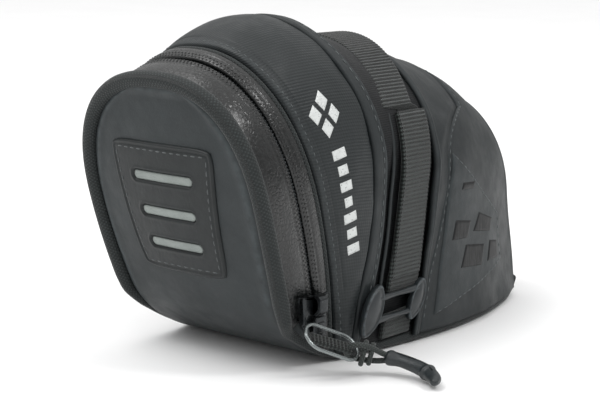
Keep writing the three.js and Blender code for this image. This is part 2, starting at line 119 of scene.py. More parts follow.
class SaddleBagColours(PropertyGroup):
    """Colours a user may change"""

    coated: colour_property("Coated fabric", "Smooth coated panels", (0.021, 0.0255, 0.027))
    ripstop: colour_property("Ripstop", "Woven body band", (0.018, 0.0215, 0.0225))
    tape: colour_property("Zip tape", "Water-repellent zip tape", (0.006, 0.007, 0.007))
    binding: colour_property("Binding", "Edge binding and piping", (0.019, 0.0225, 0.0225))
    webbing: colour_property("Webbing", "Strap webbing", (0.015, 0.018, 0.017))
    patch: colour_property("Patch", "Satin patch and appliques", (0.012, 0.0145, 0.015))
    reflective: colour_property("Reflective", "Reflective bars", (0.23, 0.26, 0.245))
    print: colour_property("Print", "Printed marks", (0.62, 0.64, 0.63))
    lining: colour_property("Lining", "Lining and shadowed cloth", (0.010, 0.011, 0.012))
    thread: colour_property("Thread", "Sewing thread", (0.085, 0.095, 0.097))
    metal: colour_property("Metal", "Black lacquered zip metal", (0.020, 0.023, 0.025))
    plastic: colour_property("Plastic", "Buckles and grip", (0.016, 0.020, 0.022))
    cord: colour_property("Cord", "Puller cord", (0.030, 0.036, 0.034))


def sizes():
    """The user's sizes."""
    return bpy.context.scene.saddle_bag_sizes


def colours():
    """The user's colours."""
    return bpy.context.scene.saddle_bag_colours


def in_mm(length):
    """A length property in millimetres."""
    return length / MM


# ---------------------------------------------------------------- sections and surfaces
def lean(section, z):
    """Y of a section at height z."""
    t = z / section[HEIGHT]
    foot, middle, top = section[Y_FOOT], section[Y_MIDDLE], section[Y_TOP]
    return foot + (-3 * foot + 4 * middle - top) * t + (2 * foot - 4 * middle + 2 * top) * t * t


def half_width(section, z):
    """Half of a section's width at height z."""
    z = np.asarray(z, float)
    foot, side, shoulder, power = (section[k] for k in (FOOT, SIDE, SHOULDER, ROUND))
    low = foot + (side - foot) * np.sin(np.pi / 2 * np.clip(z, 0, shoulder) / shoulder)
    up = np.clip((z - shoulder) / (section[HEIGHT] - shoulder), 0, 1)
    high = side * (1 - up ** power) ** (1 / power)
    return np.where(z <= shoulder, low, high)


def sweep(band, t):
    """A section somewhere along a band of three, which sit at t = 0, 0.5 and 1."""
    a, b, c = band
    return (1 - t) * (1 - 2 * t) * a + 4 * t * (1 - t) * b + t * (2 * t - 1) * c


def inset(section, by):
    """A section moved inwards."""
    smaller = section.copy()
    smaller[[FOOT, SIDE, HEIGHT]] -= by
    return smaller


def shifted(section, by):
    """A section moved along Y."""
    moved = section.copy()
    moved[[Y_FOOT, Y_MIDDLE, Y_TOP]] += by
    return moved


def lengths(points):
    """Distance along a polyline to each of its points."""
    steps = np.linalg.norm(np.diff(points, axis=0), axis=1)
    return np.concatenate([[0.0], np.cumsum(steps)])


def resample(points, count):
    """The same line with evenly spaced points."""
    points = np.asarray(points, float)
    along = lengths(points)
    at = np.linspace(0, along[-1], count)
    return np.stack([np.interp(at, along, points[:, k]) for k in range(points.shape[1])], 1)


def smooth(points, rounds):
    """Rounds a polyline's corners and keeps its ends."""
    points = np.array(points, float)
    for _ in range(rounds):
        points[1:-1] = (points[:-2] + 2 * points[1:-1] + points[2:]) / 4
    return points


def outline(section, foot, count):
    """A section's line from its right foot over the top to its left foot, evenly spaced."""
    shoulder = section[SHOULDER]
    straight = np.linspace(foot, shoulder, 60)
    angle = np.linspace(0, np.pi / 2, 120)[1:]
    power = 2 / section[ROUND]
    top_x = section[SIDE] * np.cos(angle).clip(0) ** power
    top_z = shoulder + (section[HEIGHT] - shoulder) * np.sin(angle) ** power
    z = np.concatenate([straight, top_z])
    x = np.concatenate([half_width(section, straight), top_x])
    right = resample(np.stack([x, lean(section, z), z], 1), count // 2 + 1)
    left = right[::-1][1:] * [-1, 1, 1]
    return np.concatenate([right, left])


def loft(band, foot, columns, rows=41, by=0.0):
    """A grid of points over a whole band: rows along Y, columns over the arch."""
    grid = []
    for t in np.linspace(0, 1, rows):
        low = foot(t) if callable(foot) else foot
        grid.append(outline(inset(sweep(band, t), by), low, columns))
    return np.array(grid)


def cut(grid, start, end, rows):
    """Part of a loft between two places, each a number or one for every column."""
    columns = grid.shape[1]
    start = np.broadcast_to(start, columns)
    end = np.broadcast_to(end, columns)
    places = np.linspace(0, 1, grid.shape[0])
    share = np.linspace(0, 1, rows)
    part = np.empty((rows, columns, 3))
    for column in range(columns):
        at = start[column] + (end[column] - start[column]) * share
        for axis in range(3):
            part[:, column, axis] = np.interp(at, places, grid[:, column, axis])
    return part


def trim_rows(grid, first, last):
    """Pulls a grid's first and last row along its own lines by distances in millimetres."""
    result = np.empty_like(grid)
    first = np.broadcast_to(first, grid.shape[1])
    last = np.broadcast_to(last, grid.shape[1])
    for column in range(grid.shape[1]):
        line = grid[:, column]
        along = lengths(line)
        at = np.linspace(first[column], along[-1] - last[column], len(line))
        for axis in range(3):
            result[:, column, axis] = np.interp(at, along, line[:, axis])
    return result


def normals(grid):
    """Unit normals of a grid, pointing away from the bag's middle."""
    across = np.gradient(grid, axis=1)
    along = np.gradient(grid, axis=0)
    normal = np.cross(across, along)
    normal /= np.linalg.norm(normal, axis=2, keepdims=True).clip(1e-9)
    middle = np.array([0.0, grid[..., 1].mean(), 45.0])
    outward = np.sum(normal * (grid - middle), axis=2).mean()
    return normal if outward > 0 else -normal


def row_distance(grid):
    """Distance from the first row, along each column."""
    steps = np.linalg.norm(np.diff(grid, axis=0), axis=2)
    return np.concatenate([np.zeros((1, grid.shape[1])), np.cumsum(steps, axis=0)])


def column_distance(grid):
    """Distance from the first column, along each row."""
    return row_distance(grid.transpose(1, 0, 2)).T


def rolled(distance, radius):
    """Depth of a rolled edge, 0 once a radius away from it."""
    near = np.clip(1 - distance / radius, 0, 1)
    return -radius * (1 - np.sqrt(1 - near ** 2))


def groove(distance, at, width, depth):
    """Height of a soft groove along a line at a distance."""
    return -depth * np.exp(-((distance - at) / width) ** 2)


def ripple(grid, size, strength, phase=0.0):
    """Soft waves of a cloth surface."""
    x, y, z = (grid[..., k] / size for k in range(3))
    wave = np.sin(x * 1.3 + 2 * y + phase) * np.sin(z * 1.1 - y + 1.7 * phase)
    wave += 0.6 * np.sin(2.3 * z + 1.9 * y - x + phase) * np.sin(1.7 * y + 0.8 * z)
    return strength * wave


# ---------------------------------------------------------------- meshes
def to_world(points):
    """Millimetres counted from the base's rear end, as metres in the frame."""
    moved = np.array(points, float).reshape(-1, 3)
    moved[:, 1] -= BASE_MIDDLE
    return moved * MM


def new_object(name, points, faces, material, uvs=None):
    """A smooth mesh object from points in millimetres."""
    mesh = bpy.data.meshes.new(name)
    mesh.from_pydata(to_world(points).tolist(), [], faces)
    if uvs is not None:
        layer = mesh.uv_layers.new(name="UVMap")
        index = np.empty(len(mesh.loops), np.int32)
        mesh.loops.foreach_get("vertex_index", index)
        layer.data.foreach_set("uv", np.asarray(uvs, np.float32)[index].ravel())
    mesh.polygons.foreach_set("use_smooth", [True] * len(mesh.polygons))
    mesh.materials.append(material)
    mesh.update()
    piece = bpy.data.objects.new(name, mesh)
    bpy.context.scene.collection.objects.link(piece)
    return piece


def grid_faces(rows, columns, offset=0):
    """Four-cornered faces of a grid of points."""
    r, c = np.meshgrid(np.arange(rows - 1), np.arange(columns - 1), indexing="ij")
    a = (offset + r * columns + c).ravel()
    return np.stack([a, a + 1, a + columns + 1, a + columns], 1)


def tube_faces(rings, sides, start=0, closed=False):
    """Faces of a tube of rings, with flat ends unless the last ring meets the first."""
    faces = []
    for i in range(rings if closed else rings - 1):
        here, there = start + i * sides, start + (i + 1) % rings * sides
        for j in range(sides):
            k = (j + 1) % sides
            faces.append((here + j, there + j, there + k, here + k))
    if not closed:
        last = start + (rings - 1) * sides
        faces.append(tuple(start + j for j in range(sides)))
        faces.append(tuple(last + j for j in reversed(range(sides))))
    return faces


def slab(name, outer, inner, material, uv=None):
    """A closed sheet between two matching grids."""
    rows, columns = outer.shape[:2]
    count = rows * columns
    front = grid_faces(rows, columns)
    back = grid_faces(rows, columns, count)[:, ::-1]
    edge = np.concatenate([
        np.arange(columns), np.arange(2, rows + 1) * columns - 1,
        np.arange(count - 2, count - columns - 1, -1), np.arange(rows - 2, 0, -1) * columns])
    following = np.roll(edge, -1)
    rim = np.stack([edge, edge + count, following + count, following], 1)
    faces = np.concatenate([front, back, rim])
    across = np.gradient(outer, axis=1)
    along = np.gradient(outer, axis=0)
    if np.sum(np.cross(across, along) * (outer - inner)) < 0:
        faces = faces[:, ::-1]
    points = np.concatenate([outer.reshape(-1, 3), inner.reshape(-1, 3)])
    if uv is None:
        uv = np.stack([column_distance(outer), row_distance(outer)], 2)
    uvs = np.concatenate([uv.reshape(-1, 2), uv.reshape(-1, 2)])
    return new_object(name, points, faces.tolist(), material, uvs)


def cloth_sheet(name, grid, height, material, thickness=None):
    """A closed fabric panel over a grid, raised by a height at each point."""
    thick = in_mm(sizes().skin) if thickness is None else thickness
    normal = normals(grid)
    outer = grid + normal * np.asarray(height)[..., None]
    inner = outer - normal * thick
    return slab(name, outer, inner, material), outer


def frames_along(points, hint):
    """Unit directions along a line and across it, the first one turned towards a hint."""
    tangent = np.gradient(points, axis=0)
    tangent /= np.linalg.norm(tangent, axis=1, keepdims=True).clip(1e-9)
    hint = np.broadcast_to(np.asarray(hint, float), points.shape)
    up = hint - tangent * np.sum(hint * tangent, axis=1, keepdims=True)
    up /= np.linalg.norm(up, axis=1, keepdims=True).clip(1e-9)
    return tangent, up, np.cross(tangent, up)


def pipe(name, points, radius, material, sides=16, hint=(0, 0, 1), flatten=1.0, closed=False):
    """A round or flattened tube along a line, with rounded ends where it is open."""
    points = np.asarray(points, float)
    radius = np.broadcast_to(np.asarray(radius, float), len(points)).copy()
    if closed:
        wrapped = np.concatenate([points[-2:], points, points[:2]])
        tangent, up, side = (v[2:-2] for v in frames_along(wrapped, hint))
    else:
        tangent, up, side = frames_along(points, hint)
        points, radius, tangent, up, side = round_ends(points, radius, tangent, up, side)
    angle = 2 * np.pi * np.arange(sides) / sides
    ring = np.cos(angle)[None, :, None] * up[:, None] * flatten
    ring = ring + np.sin(angle)[None, :, None] * side[:, None]
    grid = points[:, None] + ring * radius[:, None, None]
    faces = tube_faces(len(points), sides, closed=closed)
    along = lengths(points)
    uvs = np.stack(np.broadcast_arrays(
        np.arange(sides)[None] * (2 * np.pi / sides) * radius.mean(), along[:, None]), 2)
    return new_object(name, grid.reshape(-1, 3), faces, material, uvs.reshape(-1, 2))


def round_ends(points, radius, tangent, up, side):
    """Adds three ever smaller rings to each end of a tube."""
    share = np.array([0.3, 0.7, 0.95])
    size = np.sqrt(1 - share ** 2)
    first = points[0] - tangent[0] * radius[0] * 0.6 * share[::-1, None]
    last = points[-1] + tangent[-1] * radius[-1] * 0.6 * share[:, None]

    def grow(values):
        return np.concatenate([np.repeat(values[:1], 3, 0), values, np.repeat(values[-1:], 3, 0)])

    sized = np.concatenate([radius[0] * size[::-1], radius, radius[-1] * size])
    return np.concatenate([first, points, last]), sized, grow(tangent), grow(up), grow(side)


# Places along half a stitch and its thickness there.
STITCH_SECTION = [(-1.0, 0.12), (-0.86, 0.62), (-0.45, 1.0), (0.0, 1.06), (0.45, 1.0), (0.86, 0.62),
                  (1.0, 0.12)]
STITCH_SIDES = 6


def stitch_points(middle, along, across, up, length, width):
    """Corner points of one stitch, a small lens that dips into the cloth at both ends."""
    points = []
    for place, size in STITCH_SECTION:
        centre = middle + along * (place * length / 2) - up * (width * 0.55 * place ** 2)
        for turn in range(STITCH_SIDES):
            angle = turn * 2 * math.pi / STITCH_SIDES
            out = across * math.cos(angle) + up * 0.8 * math.sin(angle)
            points.append(centre + out * width * size)
    return points


def stitches(name, line, up, material, length=None, gap=None, width=0.26, slant=0.0):
    """A row of separate stitches along a line; up is the surface's normal at each point."""
    length = in_mm(sizes().stitch) if length is None else length
    gap = in_mm(sizes().stitch_gap) if gap is None else gap
    total = lengths(line)[-1]
    count = max(int(total / (length + gap)), 1)
    dense = resample(np.concatenate([line, up], 1), 4 * count + 1)
    spots, ups = dense[:, :3], dense[:, 3:]
    ups = ups / np.linalg.norm(ups, axis=1, keepdims=True).clip(1e-9)
    points, faces = [], []
    for k in range(count):
        i = 4 * k + 2
        along = spots[i + 1] - spots[i - 1]
        along = along / max(np.linalg.norm(along), 1e-9)
        across = np.cross(ups[i], along)
        along = along * math.cos(slant) + across * math.sin(slant)
        across = np.cross(ups[i], along)
        faces += tube_faces(len(STITCH_SECTION), STITCH_SIDES, start=len(points))
        points += stitch_points(spots[i], along, across, ups[i], length, width)
    return new_object(name, points, faces, material)


def trace(grid, distance, columns=slice(None)):
    """The line on a grid at a distance from its first row, and the normals there."""
    normal = normals(grid)
    from_start = row_distance(grid)
    spots, ups = [], []
    chosen = np.arange(grid.shape[1])[columns]
    distance = np.broadcast_to(distance, grid.shape[1])
    for column in chosen:
        away = from_start[:, column]
        spots.append([np.interp(distance[column], away, grid[:, column, k]) for k in range(3)])
        ups.append([np.interp(distance[column], away, normal[:, column, k]) for k in range(3)])
    return np.array(spots), np.array(ups)


class Surface:
    """Something to lay flat shapes on: rays along one direction find its points."""

    def __init__(self, grid, direction):
        points = grid.reshape(-1, 3)
        faces = grid_faces(*grid.shape[:2]).tolist()
        self.tree = BVHTree.FromPolygons([tuple(p) for p in points], faces)
        self.direction = Vector(direction)

    def land(self, a, b, lift):
        """The point above plane coordinates a and b: y and z from a side, x and z from behind."""
        if self.direction.x:
            start = Vector((-200 * self.direction.x, a, b))
        else:
            start = Vector((a, -200 * self.direction.y, b))
        spot, normal, _, _ = self.tree.ray_cast(start, self.direction)
        if spot is None:
            raise RuntimeError(f"no surface above {a:.1f}, {b:.1f}")
        if normal.dot(self.direction) > 0:
            normal = -normal
        return np.array(spot + normal * lift), np.array(normal)

    def line(self, corners, step, lift=0.0):
        """A line of straight stretches laid on the surface, with its normals."""
        corners = np.array(corners, float)
        flat = resample(corners, max(int(lengths(corners)[-1] / step), 2))
        found = [self.land(a, b, lift) for a, b in flat]
        return np.array([f[0] for f in found]), np.array([f[1] for f in found])

    def quad(self, corners, step):
        """A grid laid over a four-cornered shape, with its normals."""
        p = np.array(corners, float)
        rows = max(int(np.linalg.norm(p[3] - p[0]) / step), 2) + 1
        columns = max(int(np.linalg.norm(p[1] - p[0]) / step), 2) + 1
        grid = np.empty((rows, columns, 3))
        normal = np.empty((rows, columns, 3))
        for i, v in enumerate(np.linspace(0, 1, rows)):
            for j, u in enumerate(np.linspace(0, 1, columns)):
                flat = (p[0] * (1 - u) + p[1] * u) * (1 - v) + (p[3] * (1 - u) + p[2] * u) * v
                grid[i, j], normal[i, j] = self.land(flat[0], flat[1], 0.0)
        return grid, normal


def join(name, parts):
    """Makes several objects into one piece."""
    bpy.ops.object.select_all(action="DESELECT")
    for part in parts:
        part.select_set(True)
    bpy.context.view_layer.objects.active = parts[0]
    bpy.ops.object.join()
    parts[0].name = name
    parts[0].data.name = name
    return parts[0]


def finish_piece(piece, body, slot, *nodes):
    """Rides a piece on a body and hides the CAD nodes it stands for. The slot is not used."""
    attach(piece, body)
    if nodes:
        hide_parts(*nodes)
    return piece


# ---------------------------------------------------------------- finishes
class Finish:
    """A node material in the making. Each method adds a node and returns its output."""

    def __init__(self, name, **sockets):
        self.material = bpy.data.materials.new(name)
        self.material.use_nodes = True
        self.tree = self.material.node_tree
        self.shader = self.tree.nodes["Principled BSDF"]
        for socket, value in sockets.items():
            self.shader.inputs[socket.replace("_", " ")].default_value = value

    def node(self, kind, inputs=(), **settings):
        """Adds a node with its settings, and links or sets its inputs."""
        node = self.tree.nodes.new(kind)
        for key, value in settings.items():
            setattr(node, key, value)
        for key, value in dict(inputs).items():
            self.put(value, node.inputs[key])
        return node

    def put(self, value, socket):
        if isinstance(value, bpy.types.NodeSocket):
            self.tree.links.new(value, socket)
        else:
            socket.default_value = value

    def around(self, stretch=(1, 1, 1)):
        """Position on the object in millimetres."""
        place = self.node("ShaderNodeTexCoord").outputs["Object"]
        scale = tuple(1000 * s for s in stretch)
        return self.node("ShaderNodeMapping", {"Vector": place, "Scale": scale}).outputs[0]

    def laid(self, turn=0.0):
        """Position on the flat cloth in millimetres, turned within it."""
        place = self.node("ShaderNodeTexCoord").outputs["UV"]
        turned = {"Vector": place, "Rotation": (0, 0, turn)}
        return self.node("ShaderNodeMapping", turned).outputs[0]

    def noise(self, where, size, detail=3.0, rough=0.55):
        """Noise with features of a size in millimetres."""
        return self.node("ShaderNodeTexNoise", {"Vector": where, "Scale": 1 / size, "Detail": detail,
                                                "Roughness": rough}).outputs[0]

    def cells(self, where, size, feature="F1"):
        """Irregular cells of a size in millimetres."""
        return self.node("ShaderNodeTexVoronoi", {"Vector": where, "Scale": 1 / size},
                         feature=feature).outputs["Distance"]

    def lines(self, where, pitch, axis="X", phase=0.0):
        """Soft parallel lines, pitch apart, from 0 to 1."""
        return self.node("ShaderNodeTexWave", {"Vector": where, "Scale": math.pi / 10 / pitch,
                                               "Phase Offset": phase},
                         wave_type="BANDS", bands_direction=axis).outputs["Fac"]

    def sum(self, a, b, by=1.0):
        """a + b * by"""
        node = self.node("ShaderNodeMath", operation="MULTIPLY_ADD")
        self.put(b, node.inputs[0])
        self.put(by, node.inputs[1])
        self.put(a, node.inputs[2])
        return node.outputs[0]

    def times(self, a, b):
        """a * b"""
        node = self.node("ShaderNodeMath", operation="MULTIPLY")
        self.put(a, node.inputs[0])
        self.put(b, node.inputs[1])
        return node.outputs[0]

    def between(self, value, low, high, start=0.0, end=1.0):
        """Maps a value from low..high to start..end."""
        return self.node("ShaderNodeMapRange", {"Value": value, "From Min": low, "From Max": high,
                                                "To Min": start, "To Max": end}).outputs[0]

    def blend(self, share, dark, light):
        """A colour from dark to light by a share."""
        node = self.node("ShaderNodeMix", data_type="RGBA")
        self.put(share, node.inputs[0])
        self.put(dark, node.inputs[6])
        self.put(light, node.inputs[7])
        return node.outputs[2]

    def wear_and_highlight(self):
        """How much rubbed wear and painted edge highlight a place has, from 0 to 1, as stored on the
        mesh.
        """
        return self.node("ShaderNodeAttribute", attribute_name="wear_and_highlight").outputs["Fac"]

    def colour(self, value):
        self.put(value, self.shader.inputs["Base Color"])

    def roughness(self, value):
        self.put(value, self.shader.inputs["Roughness"])

    def relief(self, *layers):
        """Bumps on the surface: pairs of a height and its depth in millimetres."""
        normal = None
        for height, depth in layers:
            bump = self.node("ShaderNodeBump", {"Height": height, "Distance": depth * MM})
            if normal is not None:
                self.put(normal, bump.inputs["Normal"])
            normal = bump.outputs[0]
        self.put(normal, self.shader.inputs["Normal"])


def shade(colour, by):
    """A colour made lighter or darker."""
    return (*(min(c * by, 1.0) for c in colour[:3]), 1.0)


def coated_finish(name, base, rough=0.50, grain=0.7):
    """Smooth coated fabric with a fine grain, and edges lightened by rubbed wear and a painted
    highlight.
    """
    f = Finish(name, Specular_IOR_Level=0.3)
    where = f.around()
    cloud = f.noise(where, 16)
    speck = f.noise(where, 1.1, 2.0)
    tone = f.blend(f.between(cloud, 0.3, 0.7), shade(base, 0.86), shade(base, 1.14))
    tone = f.blend(f.between(speck, 0.35, 0.75, 0.0, 0.35), tone, shade(base, 1.5))
    # Lighter where the mesh stores rubbed wear and painted edge highlight.
    lightened = f.times(f.wear_and_highlight(), f.between(f.noise(where, 3.0, 4.0), 0.3, 0.65))
    f.colour(f.blend(lightened, tone, shade(base, 2.6)))
    f.roughness(f.between(f.noise(where, 7.0, 4.0), 0.3, 0.7, rough - 0.07, rough + 0.07))
    pebbles = f.cells(where, grain)
    f.relief((f.noise(where, 11.0, 2.0), 0.5), (pebbles, 0.035), (f.noise(where, 0.35, 2.0), 0.02))
    return f.material


def ripstop_finish():
    """Coated ripstop: close parallel threads crossed by finer ones."""
    base = colours().ripstop
    f = Finish("ripstop_fabric", Specular_IOR_Level=0.3)
    flat = f.laid()
    around = f.around()
    threads = f.lines(flat, 1.15, "X")
    cross = f.lines(flat, 1.15, "Y")
    grid = f.sum(f.times(threads, 0.75), cross, 0.35)
    tone = f.blend(f.between(grid, 0.2, 1.0), shade(base, 0.78), shade(base, 1.3))
    cloud = f.between(f.noise(around, 14), 0.3, 0.7, 0.0, 0.35)
    tone = f.blend(cloud, tone, shade(base, 0.8))
    # Lighter where the mesh stores rubbed wear and painted edge highlight.
    lightened = f.times(f.wear_and_highlight(), f.between(f.noise(around, 2.5, 4.0), 0.35, 0.65))
    f.colour(f.blend(lightened, tone, shade(base, 2.4)))
    f.roughness(f.between(f.noise(around, 5, 3.0), 0.3, 0.7, 0.38, 0.52))
    f.relief((f.noise(around, 9.0, 2.0), 0.4), (grid, 0.08), (f.noise(around, 0.4, 2.0), 0.02))
    return f.material


def zip_tape_finish():
    """Glossy water-repellent film with a leather grain."""
    base = colours().tape
    f = Finish("zip_tape", Specular_IOR_Level=0.4, Coat_Weight=0.25, Coat_Roughness=0.2)
    where = f.around()
    warp = f.node("ShaderNodeMix", data_type="VECTOR")
    f.put(0.18, warp.inputs[0])
    f.put(where, warp.inputs[4])
    f.put(f.node("ShaderNodeTexNoise", {"Vector": where, "Scale": 0.9}).outputs["Color"],
          warp.inputs[5])
    wrinkled = warp.outputs[1]
    creases = f.between(f.cells(wrinkled, 1.15, "DISTANCE_TO_EDGE"), 0.0, 0.25)
    pores = f.noise(where, 0.5, 2.0)
    f.colour(f.blend(creases, shade(base, 0.4), shade(base, 1.1)))
    f.roughness(f.between(f.noise(where, 3.0, 3.0), 0.3, 0.7, 0.20, 0.34))
    f.relief((f.noise(where, 6.0, 2.0), 0.3), (creases, 0.07), (pores, 0.03))
    return f.material


def woven_finish(name, base, pitch, depth, rough=0.62, turn=0.0, sheen=0.15):
    """A close plain weave."""
    f = Finish(name, Specular_IOR_Level=0.25, Sheen_Weight=sheen, Sheen_Roughness=0.35)
    flat = f.laid(turn=turn)
    around = f.around()
    weave = f.times(f.lines(flat, pitch, "X"), f.lines(flat, pitch, "Y"))
    fuzz = f.noise(around, 0.6, 3.0)
    tone = f.blend(f.between(weave, 0.0, 0.8), shade(base, 0.4), shade(base, 1.8))
    lightened = f.times(f.wear_and_highlight(), f.between(fuzz, 0.35, 0.65))
    tone = f.blend(lightened, tone, shade(base, 2.6))
    f.colour(f.blend(f.between(f.noise(around, 9.0), 0.35, 0.7, 0.0, 0.4), tone, shade(base, 0.8)))
    f.roughness(f.between(fuzz, 0.3, 0.7, rough - 0.08, rough + 0.1))
    f.relief((weave, depth), (fuzz, 0.04))
    return f.material


def film_finish(name, base, rough, grain):
    """A welded satin film with fine dust and scratches."""
    f = Finish(name, Specular_IOR_Level=0.3)
    where = f.around()
    dust = f.noise(where, 0.9, 4.0)
    cloud = f.noise(where, 10.0)
    tone = f.blend(f.between(cloud, 0.3, 0.7), shade(base, 0.85), shade(base, 1.15))
    f.colour(f.blend(f.between(dust, 0.52, 0.8, 0.0, 0.5), tone, shade(base, 1.8)))
    scratch = f.noise(f.around((1, 1, 0.12)), 0.8, 4.0)
    f.roughness(f.between(scratch, 0.35, 0.7, rough - 0.06, rough + 0.1))
    f.relief((f.cells(where, grain), 0.03), (f.noise(where, 6.0, 2.0), 0.2))
    return f.material


def reflective_finish():
    """Grey reflective film with a honeycomb of tiny cells."""
    base = colours().reflective
    f = Finish("reflective_film", Specular_IOR_Level=0.6, Coat_Weight=0.2, Coat_Roughness=0.3)
    where = f.around()
    comb = f.between(f.cells(where, 0.55, "DISTANCE_TO_EDGE"), 0.0, 0.12)
    haze = f.noise(where, 4.0, 4.0)
    tone = f.blend(comb, shade(base, 0.78), shade(base, 1.05))
    f.colour(f.blend(f.between(haze, 0.3, 0.7, 0.0, 0.45), tone, shade(base, 0.7)))
    f.roughness(f.between(haze, 0.3, 0.7, 0.34, 0.5))
    f.relief((comb, 0.03))
    return f.material


def print_finish():
    """Pale screen print that has taken the cloth's texture, with small worn gaps."""
    ink = colours().print
    f = Finish("printed_ink", Specular_IOR_Level=0.35)
    where = f.around()
    gaps = f.between(f.noise(where, 0.8, 4.0), 0.60, 0.70)
    tone = f.blend(f.noise(where, 4.0), shade(ink, 0.85), shade(ink, 1.1))
    f.colour(f.blend(gaps, tone, shade(ink, 0.35)))
    f.roughness(f.between(f.noise(where, 2.0), 0.3, 0.7, 0.5, 0.65))
    f.relief((f.lines(where, 1.0, "Z"), 0.04))
    return f.material


def thread_finish():
    """Twisted polyester thread."""
    base = colours().thread
    f = Finish("sewing_thread", Specular_IOR_Level=0.4, Sheen_Weight=0.2, Sheen_Roughness=0.3)
    where = f.around()
    twist = f.lines(f.around((1, 1, 1.4)), 0.3, "DIAGONAL")
    f.colour(f.blend(twist, shade(base, 0.55), shade(base, 1.3)))
    f.roughness(f.between(f.noise(where, 1.5), 0.3, 0.7, 0.45, 0.65))
    f.relief((twist, 0.05))
    return f.material


def metal_finish(name, base, rough, chipped):
    """Metal under lacquer or plating, with fine casting marks and bright rubbed spots."""
    f = Finish(name, Metallic=0.85, Specular_IOR_Level=0.5, Coat_Weight=0.3, Coat_Roughness=0.15)
    where = f.around()
    marks = f.noise(where, 0.7, 5.0)
    lightened = f.between(f.noise(where, 1.6, 5.0), 0.62, 0.72, 0.0, chipped)
    tone = f.blend(f.noise(where, 3.0), shade(base, 0.8), shade(base, 1.25))
    f.colour(f.blend(lightened, tone, (0.35, 0.36, 0.36, 1.0)))
    f.roughness(f.between(marks, 0.3, 0.7, rough - 0.06, rough + 0.12))
    f.relief((marks, 0.03), (f.noise(where, 2.5, 2.0), 0.06))
    return f.material


def moulded_finish(name, base, rough):
    """Injection-moulded plastic with a fine spark texture and flow marks."""
    f = Finish(name, Specular_IOR_Level=0.5)
    where = f.around()
    spark = f.noise(where, 0.3, 3.0)
    flow = f.noise(f.around((1, 0.3, 1)), 5.0, 3.0)
    tone = f.blend(f.between(flow, 0.3, 0.7), shade(base, 0.8), shade(base, 1.3))
    # Lighter where the mesh stores wear and highlight: all over the grip and on the buckle cheeks'
    # raised rims.
    lightened = f.times(f.wear_and_highlight(), f.between(f.noise(where, 1.2, 4.0), 0.35, 0.6))
    f.colour(f.blend(lightened, tone, shade(base, 4.0)))
    f.roughness(f.between(f.noise(where, 2.0, 4.0), 0.3, 0.7, rough - 0.06, rough + 0.08))
    f.relief((spark, 0.03), (f.noise(where, 4.0, 2.0), 0.12))
    return f.material


def braid_finish():
    """Braided cord."""
    base = colours().cord
    f = Finish("braided_cord", Specular_IOR_Level=0.35, Sheen_Weight=0.25, Sheen_Roughness=0.35)
    left = f.lines(f.laid(turn=0.9), 0.8, "X")
    right = f.lines(f.laid(turn=-0.9), 0.8, "X")
    braid = f.times(left, right)
    fuzz = f.noise(f.around(), 0.5, 3.0)
    f.colour(f.blend(f.between(braid, 0.0, 0.7), shade(base, 0.5), shade(base, 1.8)))
    f.roughness(f.between(fuzz, 0.3, 0.7, 0.5, 0.7))
    f.relief((braid, 0.15), (fuzz, 0.04))
    return f.material


def webbing_finish():
    """Ribbed polyester webbing: the ribs are in the mesh and the small beads are here, with painted
    highlight on their tops and painted shade between them.
    """
    base = colours().webbing
    f = Finish("strap_webbing", Specular_IOR_Level=0.3, Sheen_Weight=0.2, Sheen_Roughness=0.3)
    flat = f.laid()
    around = f.around()
    beads = f.lines(flat, 0.62, "X")
    ribs = f.lines(flat, in_mm(sizes().rib), "Y", -math.pi / 2)
    fuzz = f.noise(around, 0.5, 3.0)
    # Painted highlight on the tops of the ribs and beads, painted shade in the valleys between them.
    rib_highlight_and_shade = f.times(f.between(beads, 0.1, 0.9, 0.4), f.between(ribs, 0.15, 0.85))
    tone = f.blend(rib_highlight_and_shade, shade(base, 0.2), shade(base, 3.8))
    f.colour(f.blend(f.between(f.noise(around, 8.0), 0.35, 0.7, 0.0, 0.35), tone, shade(base, 0.8)))
    f.roughness(f.between(fuzz, 0.3, 0.7, 0.42, 0.62))
    f.relief((beads, 0.26), (fuzz, 0.04))
    return f.material


FINISHES = {}


def finish(name):
    """The named finish, made the first time it is asked for."""
    if name not in FINISHES:
        c = colours()
        makers = {
            "coated": lambda: coated_finish("coated_fabric", c.coated),
            # A darker copy of the coated fabric for the nose panels: painted shade on that side of
            # the bag.
            "smooth": lambda: coated_finish("coated_nose_fabric_shaded", shade(c.coated, 0.7), grain=0.5),
            "hem": lambda: coated_finish("coated_hem", shade(c.coated, 0.8)),
            "ripstop": ripstop_finish,
            "tape": zip_tape_finish,
            "binding": lambda: woven_finish("woven_binding", c.binding, 0.95, 0.14, turn=0.78),
            # Lining cloth, also used as painted shade in the strap channel.
            "lining": lambda: woven_finish("woven_lining_and_shade", c.lining, 0.8, 0.08, sheen=0.05),
            "patch": lambda: film_finish("welded_patch", c.patch, 0.42, 0.45),
            # The near-black gloss serves the printed shapes and the painted shade in the grip's
            # mouth.
            "gloss": lambda: film_finish("gloss_print_and_shade", shade(c.lining, 0.3), 0.5, 0.6),
            "reflective": reflective_finish,
            "print": print_finish,
            "thread": thread_finish,
            "webbing": webbing_finish,
            "metal": lambda: metal_finish("black_metal", c.metal, 0.3, 0.35),
            "wire": lambda: metal_finish("ring_wire", (0.20, 0.22, 0.22), 0.24, 0.5),
            "plastic": lambda: moulded_finish("buckle_plastic", c.plastic, 0.34),
            "grip": lambda: moulded_finish("grip_plastic", shade(c.plastic, 0.7), 0.4),
            "board": lambda: moulded_finish("stiffener_board", shade(c.plastic, 2.0), 0.6),
            "cord": braid_finish,
        }
        FINISHES[name] = makers[name]()
    return FINISHES[name]


